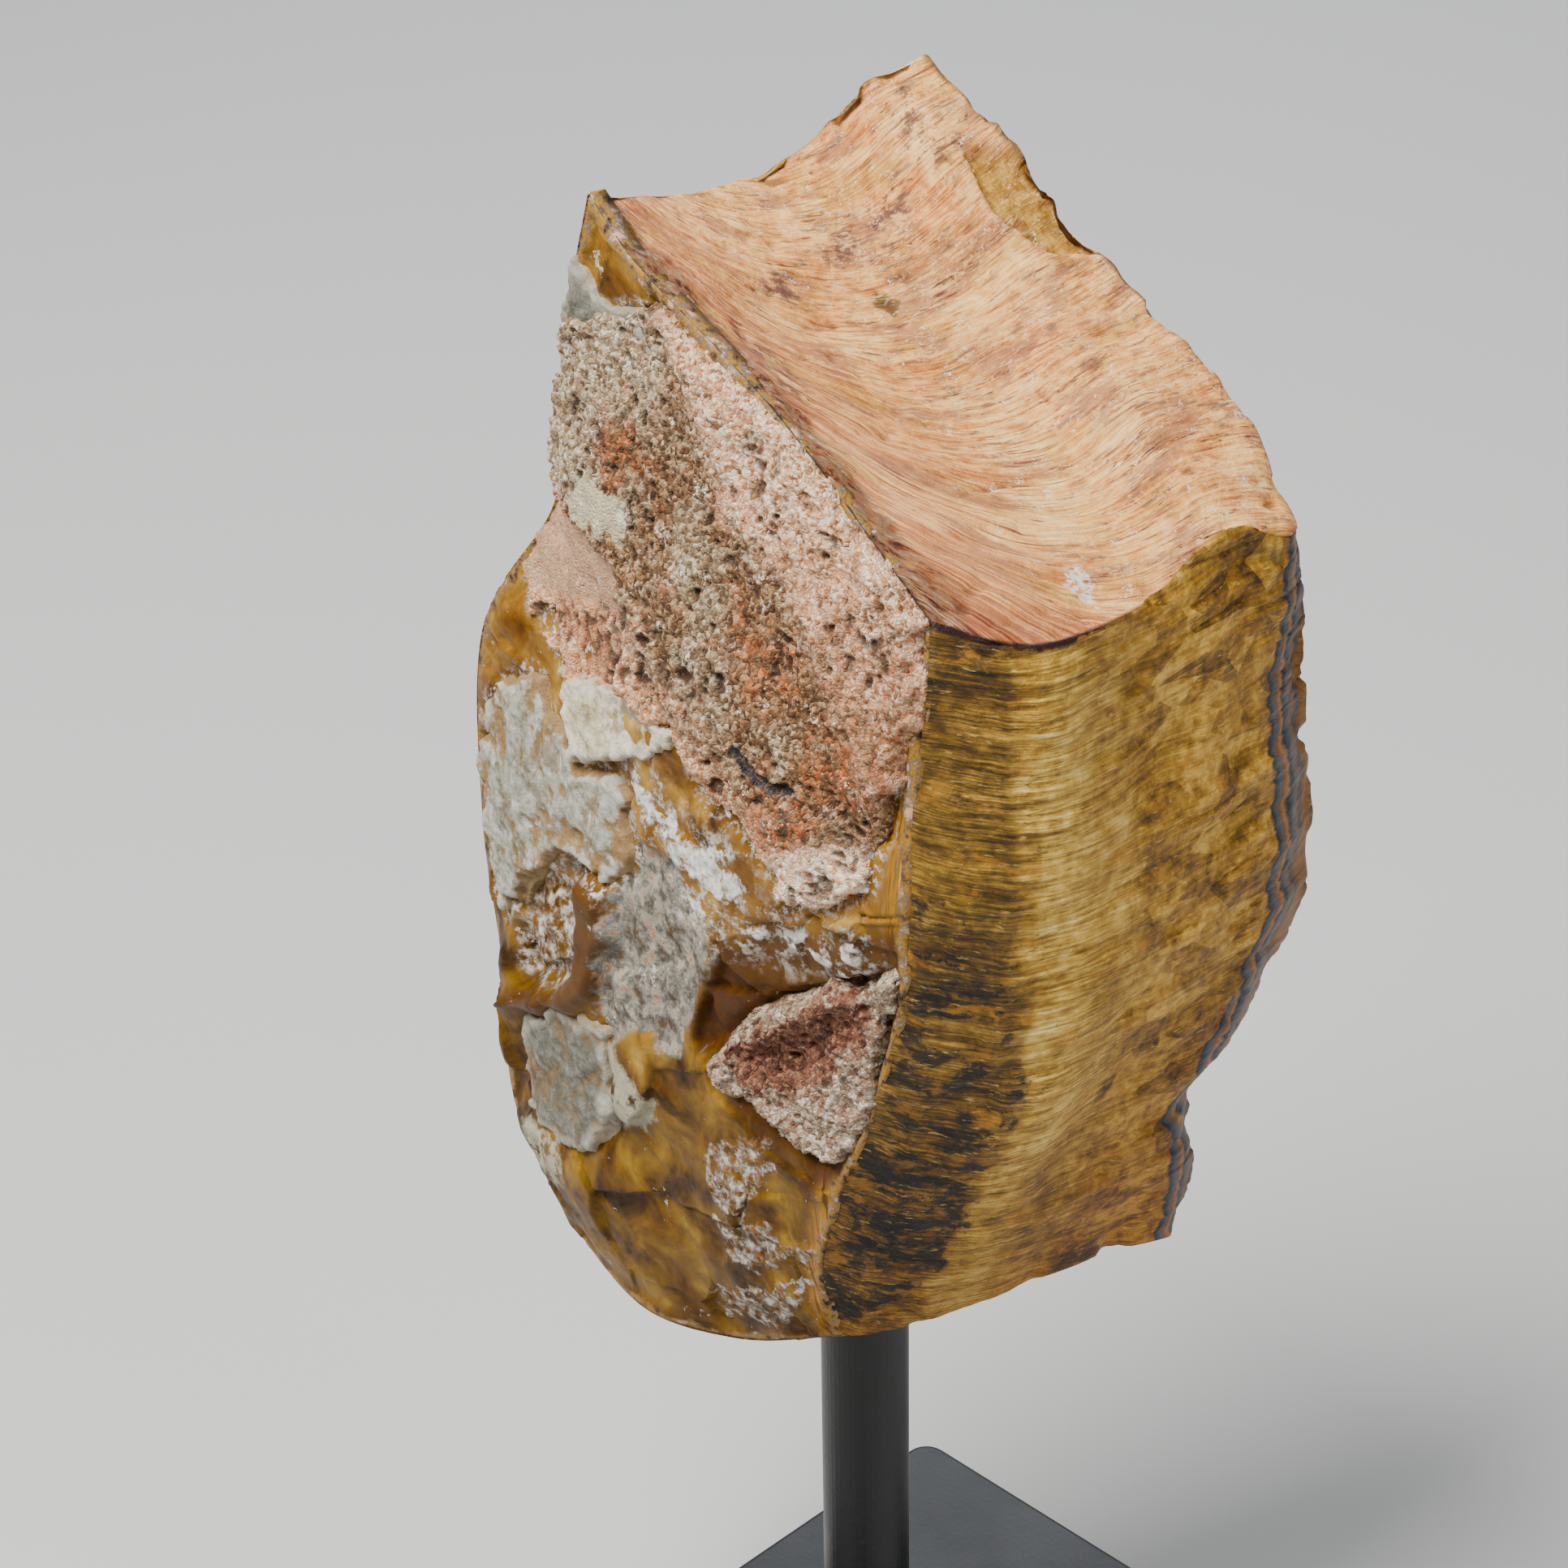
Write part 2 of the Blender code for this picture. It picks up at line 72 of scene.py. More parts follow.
# The stone's upright lines, each from the rim down to the underside (u, v, z)
NEAR_EDGE: Line = (
    (-8.5, -24, 144), (-9.5, -25, 138.5), (-11, -25.5, 129.5), (-11.5, -26, 120.5), (-12, -25, 110.5),
    (-13.5, -22.5, 99.5), (-14.5, -19.5, 90.5), (-14, -16.5, 81.5), (-11, -14.5, 72.5),
)
FOLD: Line = (
    (-2, -27.5, 142), (-1.5, -28.5, 136.5), (-1, -29, 128), (-1.5, -29, 119), (-1.5, -28.5, 109.5),
    (-2, -27, 99), (-3, -24.5, 90.5), (-3, -21.5, 82), (-2.5, -17, 73),
)
FRONT_MIDDLE: Line = (
    (11.5, -24, 140.5), (12, -24.5, 135), (12, -25, 127), (12, -26, 118.5), (11.5, -26.5, 109.5),
    (9.5, -25, 99.5), (7, -23.5, 91), (7, -22, 83), (7.5, -19, 74.5),
)
FRONT_RIGHT: Line = (
    (21.5, -20.5, 142.5), (21.5, -21.5, 136), (21, -22.5, 127.5), (21, -23, 118.5), (20.5, -24, 109),
    (17.5, -23.5, 99), (13.5, -22.5, 90.5), (13.5, -21.5, 82.5), (13.5, -19, 74.5),
)
BAND_START: Line = (
    (28.5, -19.5, 139.5), (28, -20, 133), (27, -20.5, 124.5), (27.5, -21.5, 116), (27, -22, 107.5),
    (23, -22.5, 98), (18, -21.5, 90), (18.5, -21, 82.5), (19, -19, 74),
)
BAND_END: Line = (
    (31, -17, 139), (31.5, -18, 132), (31.5, -18, 123.5), (32.5, -18.5, 115), (32, -19, 106),
    (27.5, -19, 96.5), (21, -18.5, 88), (22, -18.5, 80.5), (21, -17, 72.5),
)
RIGHT_NEAR: Line = (
    (30.5, -8, 147), (31.5, -8.5, 139), (32, -8.5, 129), (32.5, -9, 119), (31.5, -9, 109), (28, -9, 98),
    (22, -9, 89), (22, -9, 80), (20, -8, 71.5),
)
RIGHT_WALL: Line = (
    (27.5, 4, 154), (28.5, 4.5, 147), (29.5, 5, 136), (30, 5, 124.5), (29.5, 5, 112), (26.5, 5, 100),
    (21.5, 5, 90), (20.5, 4, 80), (17.5, 3, 70),
)
RIGHT_FAR: Line = (
    (24.5, 13.5, 161.5), (25.5, 14.5, 154), (26.5, 15.5, 143), (27.5, 16, 130), (27, 16.5, 117),
    (24.5, 16.5, 103.5), (20.5, 16, 92.5), (18.5, 14, 81.5), (15.5, 10, 70.5),
)
PEAK: Line = (
    (20.5, 23, 168.5), (21.5, 24.5, 161), (22.5, 26, 150), (23.5, 27.5, 136.5), (23.5, 28, 123),
    (22, 28, 108.5), (19, 27, 95.5), (16, 23.5, 83), (12, 17, 71.5),
)
BACK_RIGHT: Line = (
    (14.5, 22, 167.5), (15, 24, 160), (16, 26.5, 149), (16.5, 28.5, 135.5), (16.5, 29.5, 122),
    (15.5, 29.5, 107), (13, 28.5, 94.5), (10.5, 24.5, 82), (8, 18, 70.5),
)
BACK_MIDDLE: Line = (
    (8, 20.5, 164), (8.5, 23, 157), (9, 26, 145.5), (9, 28.5, 133), (9, 30, 119.5), (8, 30.5, 105.5),
    (6.5, 29, 93), (4, 25, 80.5), (2.5, 18.5, 69.5),
)
BACK_LEFT: Line = (
    (0, 19, 163), (0, 22, 156), (0.5, 25, 144.5), (0.5, 28, 132), (0, 30, 118.5), (-0.5, 30.5, 104.5),
    (-1.5, 29, 92), (-3, 25, 79.5), (-4, 18, 68.5),
)
FAR_EDGE: Line = (
    (-15, 15.5, 166), (-16, 17, 158), (-16.5, 19, 146), (-17, 20.5, 137.5), (-20.5, 28, 124),
    (-21, 29.5, 105), (-20.5, 28.5, 90.5), (-21, 26.5, 76), (-19.5, 19.5, 66),
)
LEFT_WALL_FAR: Line = (
    (-14, 8, 161.5), (-15, 8, 154), (-17.5, 8, 142), (-19.5, 9, 130), (-21, 9.5, 116), (-21.5, 10, 102),
    (-22, 9.5, 89), (-21.5, 8.5, 75.5), (-18.5, 6, 64.5),
)
LEFT_WALL_NEAR: Line = (
    (-11, -5, 155), (-13, -5.5, 147.5), (-16, -5.5, 136.5), (-18.5, -6, 125), (-19, -5, 112), (-19, -4, 98.5),
    (-18.5, -2.5, 86.5), (-17.5, -1, 75), (-14, -1, 64.5),
)

# Outlines on the left wall (v, z)
BIG_CRUST: Outline = (
    (17, 155), (11, 157.5), (6, 159.5), (1.5, 157), (-5, 154.5), (-13, 150.5), (-18, 147.5), (-23.5, 144),
    (-24.5, 139), (-24, 131.5), (-22.5, 125), (-22, 121.5), (-20.5, 120), (-15.5, 117.5), (-14, 120),
    (-11.5, 123), (-8, 123.5), (-2.5, 128), (4, 128), (14.5, 126.5), (21.5, 129), (22.5, 131.5), (20, 141),
    (19, 147),
)
CRUST_STEP: Outline = (
    (24, 140.5), (19.5, 140.5), (12, 140), (7, 138), (5, 134.5), (4, 128), (14.5, 126.5), (24, 129),
)
SMALL_CRUST: Outline = (
    (-8.5, 101), (-10, 104.5), (-14.5, 107.5), (-19.5, 111), (-24.5, 114), (-25, 111.5), (-23.5, 107),
    (-23.5, 103.5), (-22, 98.5), (-19.5, 95.5), (-15.5, 95), (-13, 96), (-8.5, 97), (-7.5, 98),
)
CHALK_SHEET: Outline = (
    (26, 118), (23.5, 121), (20, 123.5), (18, 123.5), (17.5, 122), (12.5, 121.5), (10.5, 119), (7.5, 119.5),
    (3.5, 119), (2.5, 116), (3, 113), (6.5, 109), (9, 110.5), (10.5, 111), (15.5, 109), (18.5, 105.5),
    (21, 102), (25.5, 96.5), (27, 101), (29, 110),
)
LOW_CHALK: Outline = (
    (22, 88.5), (12.5, 94.5), (7, 95), (5.5, 91), (7, 85), (9.5, 80.5), (13.5, 79.5), (21.5, 78.5),
    (22.5, 82.5),
)
THIN_CHALK: tuple[Outline, ...] = (
    ((7, 94), (4.5, 93), (1, 90.5), (2, 87.5), (5.5, 85.5), (7.5, 89)),
    ((24, 76), (15.5, 80), (13.5, 77), (16, 73), (23.5, 70)),
)
OVAL_HOLLOW: Outline = (
    (18.5, 105.5), (13.5, 109.5), (10, 110), (9.5, 107), (10.5, 104.5), (11, 99.5), (13, 96), (20, 92.5),
    (23.5, 92), (23, 96.5), (21.5, 101.5),
)
CREAM_LUMPS: Outline = (
    (14.5, 126), (10.5, 127.5), (5, 128.5), (1, 128.5), (-2.5, 127.5), (-2.5, 126.5), (1, 124.5),
    (3.5, 122.5), (5.5, 121.5), (11, 119.5), (12, 122), (14, 124),
)
TIP_CHALK: Outline = ((17, 161), (13.5, 158.5), (9, 158), (6, 156), (8.5, 153), (13, 153), (18, 155))
FIN: Outline = (
    (9, 108.5), (5.5, 109.5), (6, 104), (7.5, 99.5), (9, 96.5), (16.5, 91.5), (24.5, 88), (24, 90), (14, 95),
    (11.5, 99.5), (10.5, 104),
)
MILKY_FACET: Outline = (
    (2, 116), (-3, 116), (-4.5, 113), (-6.5, 112), (-7, 110), (-6, 106.5), (-3.5, 101.5), (-2.5, 98),
    (0, 96.5), (2, 97), (6, 94.5), (7.5, 96.5), (7, 101), (6, 106.5), (4, 111), (2.5, 113.5),
)
CHIPPED_RECESS: Outline = (
    (-8, 111.5), (-13, 115), (-26, 120), (-30, 114), (-30, 92), (-22, 92), (-14, 92), (-6, 95), (-5, 102),
    (-6, 107),
)
CREVICE: Outline = (
    (-6.5, 106.5), (-8, 110), (-9, 108), (-10.5, 107), (-14, 108), (-17, 109.5), (-21.5, 112.5),
    (-26.5, 115.5), (-24.5, 113.5), (-19.5, 111), (-14.5, 107.5), (-10, 104.5), (-8, 100.5), (-5, 98.5),
    (-4, 99.5),
)
CHIP_BLOCKS: tuple[Outline, ...] = (
    ((-8, 111.5), (-13, 115), (-13.5, 108.2), (-10.5, 107.5), (-8.5, 107.5)),
    ((-13, 115), (-21.5, 119), (-22, 118.5), (-21, 112.7), (-17.5, 110.2), (-13.5, 108.2)),
    ((-21.5, 119), (-28, 121.5), (-28, 116), (-21, 112.7)),
)
DARK_HOLE: Place = (18, 129)
DARK_HOLE_RADIUS = 1.3
# The ochre chip in the top's right rim (u, v)
RIM_CHIP: Outline = ((20, 15), (27, 15), (29, 6), (22.5, 6.5), (20, 10))


def smooth_through(knots: Array, values: Array, at: Array) -> Array:
    """Reads values from a smooth curve through the knots.

    Args:
        knots: Rising places of the known values.
        values: The known values, one row for each knot.
        at: The places to read.

    Returns:
        One row of values for each place.
    """
    steps = np.diff(knots)
    slopes = np.diff(values, axis=0) / steps.reshape(-1, *[1] * (values.ndim - 1))
    tangents = np.empty_like(values)
    tangents[0] = slopes[0]
    tangents[-1] = slopes[-1]
    for i in range(1, len(knots) - 1):
        before, after = steps[i - 1], steps[i]
        tangents[i] = (slopes[i - 1] * after + slopes[i] * before) / (before + after)
    cell = np.clip(np.searchsorted(knots, at, side="right") - 1, 0, len(steps) - 1)
    shape = (-1, *[1] * (values.ndim - 1))
    length = steps[cell].reshape(shape)
    t = ((at - knots[cell]) / steps[cell]).reshape(shape)
    start, end = values[cell], values[cell + 1]
    return (
        start * (2 * t**3 - 3 * t**2 + 1)
        + tangents[cell] * length * (t**3 - 2 * t**2 + t)
        + end * (3 * t**2 - 2 * t**3)
        + tangents[cell + 1] * length * (t**3 - t**2)
    )


def smooth_step(low: float, high: float, value: Array) -> Array:
    """Rises smoothly from 0 at low to 1 at high.

    Args:
        low: Where the rise starts.
        high: Where it ends.
        value: The values to read.

    Returns:
        The risen values.
    """
    t = np.clip((value - low) / (high - low), 0, 1)
    return t * t * (3 - 2 * t)


def distance_to_line(places: Array, start: Array, end: Array) -> Array:
    """Measures how far each place lies from a straight line.

    Args:
        places: Rows of two coordinates.
        start: The line's first end.
        end: Its other end.

    Returns:
        Distances to the nearest part of the line.
    """
    edge = end - start
    offset = places - start
    share = np.clip(offset @ edge / (edge @ edge), 0, 1)
    return np.linalg.norm(offset - share[:, None] * edge, axis=1)


def depth_inside(places: Array, outline: Outline) -> Array:
    """Measures how far each place lies inside a closed outline.

    Args:
        places: Rows of two coordinates.
        outline: The outline's corners.

    Returns:
        Distances to the outline, negative outside it.
    """
    corners = np.asarray(outline, float)
    nearest = np.full(len(places), np.inf)
    within = np.zeros(len(places), bool)
    for start, end in zip(corners, np.roll(corners, -1, axis=0)):
        nearest = np.minimum(nearest, distance_to_line(places, start, end))
        edge, offset = end - start, places - start
        spans = (start[1] <= places[:, 1]) != (end[1] <= places[:, 1])
        within ^= spans & (edge[0] * offset[:, 1] * np.sign(edge[1]) > offset[:, 0] * abs(edge[1]))
    return np.where(within, nearest, -nearest)


def distance_to_path(places: Array, path: Outline) -> Array:
    """Measures how far each place lies from an open path through the given corners."""
    corners = np.asarray(path, float)
    return np.min([distance_to_line(places, *ends) for ends in zip(corners[:-1], corners[1:])], axis=0)


def read_line(line: Outline, at: Array) -> Array:
    """Reads a line of (place, value) corners at any places."""
    return np.interp(at, *np.asarray(line, float).T)


def cell_corners(numbers: Array) -> Array:
    """The four corners of each cell in a grid of point numbers."""
    return np.stack([numbers[:-1, :-1], numbers[1:, :-1], numbers[1:, 1:], numbers[:-1, 1:]], -1)


def scattered(cells: Array, seed: int) -> Array:
    """Gives each whole-numbered cell a repeatable number.

    Args:
        cells: Whole-numbered coordinates, three to a cell.
        seed: Picks one of many sets of numbers.

    Returns:
        Numbers from -1 to 1.
    """
    mixed = cells[..., 0] * 73856093 ^ cells[..., 1] * 19349663 ^ cells[..., 2] * 83492791 ^ seed * 40503
    mixed = (mixed ^ (mixed >> 13)) * 1274126177
    mixed = (mixed ^ (mixed >> 16)) & 0xFFFF
    return mixed / 0x7FFF - 1


def lumps(points: Array, size: float | tuple[float, ...], seed: int) -> Array:
    """Makes smooth random lumps.

    Args:
        points: Rows of three coordinates.
        size: The lumps' spacing, one number or one for each axis.
        seed: Picks one of many fields.

    Returns:
        Heights between about -1 and 1.
    """
    scaled = points / np.asarray(size, float)
    cell = np.floor(scaled).astype(np.int64)
    t = scaled - cell
    t = t * t * t * (t * (t * 6 - 15) + 10)
    total = np.zeros(len(points))
    for corner in np.ndindex(2, 2, 2):
        weight = np.prod(np.where(corner, t, 1 - t), axis=1)
        total += weight * scattered(cell + np.array(corner), seed)
    return total


def facets(places: Array, size: float, seed: int) -> tuple[Array, Array]:
    """Breaks a surface into flat facets like those of chipped stone.

    Args:
        places: Rows of two coordinates.
        size: The facets' spacing.
        seed: Picks one of many patterns.

    Returns:
        Heights of tilted facets between about -1 and 1, and each place's distance past its facet's border.
    """
    scaled = places / size
    base = np.floor(scaled).astype(np.int64)
    first = np.full(len(places), np.inf)
    second = np.full(len(places), np.inf)
    height = np.zeros(len(places))
    for shift in np.ndindex(3, 3):
        cell = np.column_stack([base + np.array(shift) - 1, np.zeros(len(base), np.int64)])
        seat = cell[:, :2] + 0.5 + 0.42 * np.column_stack([scattered(cell, seed), scattered(cell, seed + 1)])
        offset = scaled - seat
        reach = np.linalg.norm(offset, axis=1)
        tilt = offset[:, 0] * scattered(cell, seed + 2) + offset[:, 1] * scattered(cell, seed + 3)
        closer = reach < first
        second = np.where(closer, first, np.minimum(second, reach))
        height = np.where(closer, tilt + 0.35 * scattered(cell, seed + 4), height)
        first = np.where(closer, reach, first)
    return height, (second - first) * size


def line_places(lines: tuple[Line, ...]) -> Array:
    """Distances of a wall's upright lines from its first, at half height."""
    middle = np.asarray(lines, float)[:, STATIONS // 2]
    return np.concatenate([[0.0], np.cumsum(np.linalg.norm(np.diff(middle, axis=0), axis=1))])


def loft(lines: tuple[Line, ...], places: Array, heights: Array) -> Array:
    """Lofts a wall between its upright lines.

    Args:
        lines: The wall's upright lines in order.
        places: Distances along the wall from its first line.
        heights: Stations down the lines, from 0 at the rim.

    Returns:
        A grid of points, one row for each place.
    """
    table = np.asarray(lines, float)
    upright = smooth_through(np.arange(STATIONS + 1, dtype=float), table.transpose(1, 0, 2), heights)
    return smooth_through(line_places(lines), upright.transpose(1, 0, 2), places)


class Zone(Enum):
    """The parts of the stone's skin."""

    FRONT = 0
    RIGHT = 1
    BACK = 2
    LEFT = 3
    TOP = 4
    UNDERSIDE = 5


@dataclass
class Skin:
    """The stone's bare skin as a closed grid."""

    points: Array
    quads: Array
    zones: Array
    from_rim: Array
    into_left: Array

    def normals(self) -> Array:
        """Finds the outward direction at each point.

        Returns:
            Unit directions.
        """
        across = self.points[self.quads[:, 2]] - self.points[self.quads[:, 0]]
        along = self.points[self.quads[:, 3]] - self.points[self.quads[:, 1]]
        facing = np.cross(across, along)
        total = np.zeros_like(self.points)
        for corner in range(4):
            for axis in range(3):
                total[:, axis] += np.bincount(
                    self.quads[:, corner], weights=facing[:, axis], minlength=len(self.points)
                )
        return total / np.linalg.norm(total, axis=1, keepdims=True)


@dataclass(frozen=True)
class LumpForm:
    """The bare lump of vein stone, lofted between its upright lines."""

    front_lines: tuple[Line, ...] = (NEAR_EDGE, FOLD, FRONT_MIDDLE, FRONT_RIGHT, BAND_START, BAND_END)
    right_lines: tuple[Line, ...] = (BAND_END, RIGHT_NEAR, RIGHT_WALL, RIGHT_FAR, PEAK)
    back_lines: tuple[Line, ...] = (PEAK, BACK_RIGHT, BACK_MIDDLE, BACK_LEFT, FAR_EDGE)
    left_lines: tuple[Line, ...] = (FAR_EDGE, LEFT_WALL_FAR, LEFT_WALL_NEAR, NEAR_EDGE)
    top_dip: float = 1.5
    underside_sag: float = 3.5
    front_width: float = 46
    side_width: float = 48
    height: float = 90
    # The underside's rim counts as this far from the rim, so that it is worn less
    under_rim: float = 4

    def side(self, lines: tuple[Line, ...], across: int, down: int) -> Array:
        """Lofts one side of the lump.

        Args:
            lines: The side's upright lines in order round the stone.
            across: Steps along the side.
            down: Steps from the rim to the underside.

        Returns:
            A grid of points, (across + 1) by (down + 1).
        """
        places = np.linspace(0, line_places(lines)[-1], across + 1)
        return loft(lines, places, np.linspace(0, STATIONS, down + 1))

    def fill(self, front: Array, right: Array, back: Array, left: Array) -> Array:
        """Fills four edge curves with a blended patch.

        Args:
            front: Points from the near edge to the right.
            right: Points from there to the peak.
            back: Points from the peak to the far edge.
            left: Points from there to the near edge.

        Returns:
            A grid of points from the near edge along the front and then back.
        """
        along = np.linspace(0, 1, len(front))[:, None, None]
        depth = np.linspace(0, 1, len(right))[None, :, None]
        back = back[::-1]
        left = left[::-1]
        ruled_depth = front[:, None] * (1 - depth) + back[:, None] * depth
        ruled_along = left[None] * (1 - along) + right[None] * along
        corners = (
            front[0] * (1 - along) * (1 - depth)
            + front[-1] * along * (1 - depth)
            + back[0] * (1 - along) * depth
            + back[-1] * along * depth
        )
        return ruled_depth + ruled_along - corners

    def skin(self, along_step: float, side_step: float, down_step: float) -> Skin:
        """Builds the closed skin.

        Args:
            along_step: Spacing of points along the fibres.
            side_step: Spacing along the two walls.
            down_step: Spacing from the rim down.

        Returns:
            The skin with each point's zone and distances from the rim and into the left wall.
        """
        along = round(self.front_width / along_step)
        side = round(self.side_width / side_step)
        down = round(self.height / down_step)
        front = self.side(self.front_lines, along, down)
        right = self.side(self.right_lines, side, down)
        back = self.side(self.back_lines, along, down)
        left = self.side(self.left_lines, side, down)
        band = np.concatenate([front[:-1], right[:-1], back[:-1], left[:-1]])
        ring, rows = len(band), down + 1
        numbers = np.arange(ring * rows).reshape(ring, rows)
        quads = [cell_corners(np.concatenate([numbers, numbers[:1]]))[..., [0, 3, 2, 1]].reshape(-1, 4)]
        zone_of_column = np.repeat(
            [Zone.FRONT.value, Zone.RIGHT.value, Zone.BACK.value, Zone.LEFT.value], [along, side, along, side]
        )
        points = [band.reshape(-1, 3)]
        zones = [np.repeat(zone_of_column, rows)]
        drop = np.arange(rows) * down_step
        from_rim = [np.tile(np.minimum(drop, drop[-1] - drop + self.under_rim), ring)]
        left_column = np.maximum(np.arange(ring) - (2 * along + side), 0) * side_step
        across_left = np.minimum(left_column, np.where(left_column > 0, self.side_width - left_column, 0))
        into_left = np.minimum(across_left[:, None], np.minimum(drop, drop[-1] - drop)[None, :]).ravel()
        offset = ring * rows
        for row, sink, zone in ((0, self.top_dip, Zone.TOP), (down, self.underside_sag, Zone.UNDERSIDE)):
            patch = self.fill(front[:, row], right[:, row], back[:, row], left[:, row])
            a = np.linspace(-1, 1, along + 1)[:, None]
            b = np.linspace(-1, 1, side + 1)[None, :]
            patch[..., 2] -= sink * (1 - a**2) * (1 - b**2)
            index = np.empty(patch.shape[:2], int)
            index[:, 0] = np.arange(along + 1) * rows + row
            index[-1, :] = (along + np.arange(side + 1)) * rows + row
            index[:, -1] = (along * 2 + side - np.arange(along + 1)) * rows + row
            index[0, :] = ((ring - np.arange(side + 1)) % ring) * rows + row
            inner = patch[1:-1, 1:-1]
            count = inner[..., 0].size
            index[1:-1, 1:-1] = offset + np.arange(count).reshape(inner.shape[:2])
            offset += count
            points.append(inner.reshape(-1, 3))
            zones.append(np.full(count, zone.value))
            inward_a = np.minimum(np.arange(1, along), along - np.arange(1, along))[:, None] * along_step
            inward_b = np.minimum(np.arange(1, side), side - np.arange(1, side))[None, :] * side_step
            inward = np.minimum(inward_a, inward_b).ravel()
            from_rim.append(inward + (0 if zone is Zone.TOP else self.under_rim))
            cell = cell_corners(index).reshape(-1, 4)
            quads.append(cell if zone is Zone.TOP else cell[:, ::-1])
        every = np.concatenate(points)
        into_left = np.concatenate([into_left, np.zeros(len(every) - len(into_left))])
        return Skin(every, np.concatenate(quads), np.concatenate(zones), np.concatenate(from_rim), into_left)


def wander(points: Array, size: float, seed: int) -> Array:
    """Small moves across a surface, which make the outlines drawn on it ragged."""
    return np.stack([lumps(points, size, seed), lumps(points, size, seed + 1)], axis=1)


def wall_places(points: Array) -> Array:
    """The wall's (v, z) places with the small wander that all its outlines share."""
    return points[:, 1:] + 0.6 * wander(points, 3, 11)


def top_places(points: Array) -> Array:
    """The top's (u, v) places with the small wander that its outlines share."""
    return points[:, :2] + 0.5 * wander(points, 3, 13)


def inside_any(places: Array, outlines: tuple[Outline, ...]) -> Array:
    """Distance inside the nearest of several outlines, negative outside them all."""
    return np.max([depth_inside(places, outline) for outline in outlines], axis=0)


def terraces(field_values: Array, steps: float, sharpness: float) -> Array:
    """Turns a smooth field into small ledges.

    Args:
        field_values: The field, from about -1 to 1.
        steps: How many ledges there are to a unit.
        sharpness: From 0 for a ramp to near 1 for a cliff.

    Returns:
        The field with its rise gathered into ledges.
    """
    scaled = field_values * steps
    whole = np.floor(scaled)
    rest = scaled - whole
    edge = 0.5 * (1 - sharpness)
    return (whole + smooth_step(0.5 - edge, 0.5 + edge, rest)) / steps


def make_mesh(name: str, points: Array, quads: Array, attributes: dict[str, Array]) -> Mesh:
    """Makes a smooth mesh in metres, turned as the stone stands.

    Args:
        name: The mesh's name.
        points: Points in the stone's own millimetres.
        quads: Four point numbers for each face.
        attributes: Numbers or vectors kept at each point.

    Returns:
        The mesh.
    """
    cos, sin = math.cos(STONE_TURN), math.sin(STONE_TURN)
    turned = points @ np.array([[cos, sin, 0], [-sin, cos, 0], [0, 0, 1]]) * MM
    mesh = bpy.data.meshes.new(name)
    mesh.vertices.add(len(points))
    mesh.vertices.foreach_set("co", turned.astype(np.float32).ravel())
    mesh.loops.add(quads.size)
    mesh.loops.foreach_set("vertex_index", quads.astype(np.int32).ravel())
    mesh.polygons.add(len(quads))
    mesh.polygons.foreach_set("loop_start", np.arange(0, quads.size, 4, dtype=np.int32))
    mesh.update(calc_edges=True)
    mesh.validate()
    mesh.shade_smooth()
    for label, values in attributes.items():
        kind, slot = ("FLOAT_VECTOR", "vector") if values.ndim == 2 else ("FLOAT", "value")
        entry = mesh.attributes.new(label, kind, "POINT")
        entry.data.foreach_set(slot, values.astype(np.float32).ravel())
    return mesh


def add_piece(mesh: Mesh, material: Material, triangles: int | None = None) -> Object:
    """Adds a piece of the stone and thins it to a number of triangles.

    Args:
        mesh: The piece's mesh.
        material: Its finish.
        triangles: The most triangles it may keep, or None for all.

    Returns:
        The piece, riding on the stand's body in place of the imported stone.
    """
    mesh.materials.append(material)
    piece = bpy.data.objects.new(mesh.name, mesh)
    bpy.context.scene.collection.objects.link(piece)
    if triangles is not None and triangles < 2 * len(mesh.polygons):
        thin = piece.modifiers.new("thin", "DECIMATE")
        thin.use_collapse_triangulate = True
        thin.ratio = triangles / (2 * len(mesh.polygons))
        graph = bpy.context.evaluated_depsgraph_get()
        thinned = bpy.data.meshes.new_from_object(
            piece.evaluated_get(graph), preserve_all_data_layers=True, depsgraph=graph
        )
        thinned.name = mesh.name
        piece.modifiers.clear()
        piece.data = thinned
        bpy.data.meshes.remove(mesh)
        piece.data.name = piece.name
    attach(piece, "root")
    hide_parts("stone")
    return piece


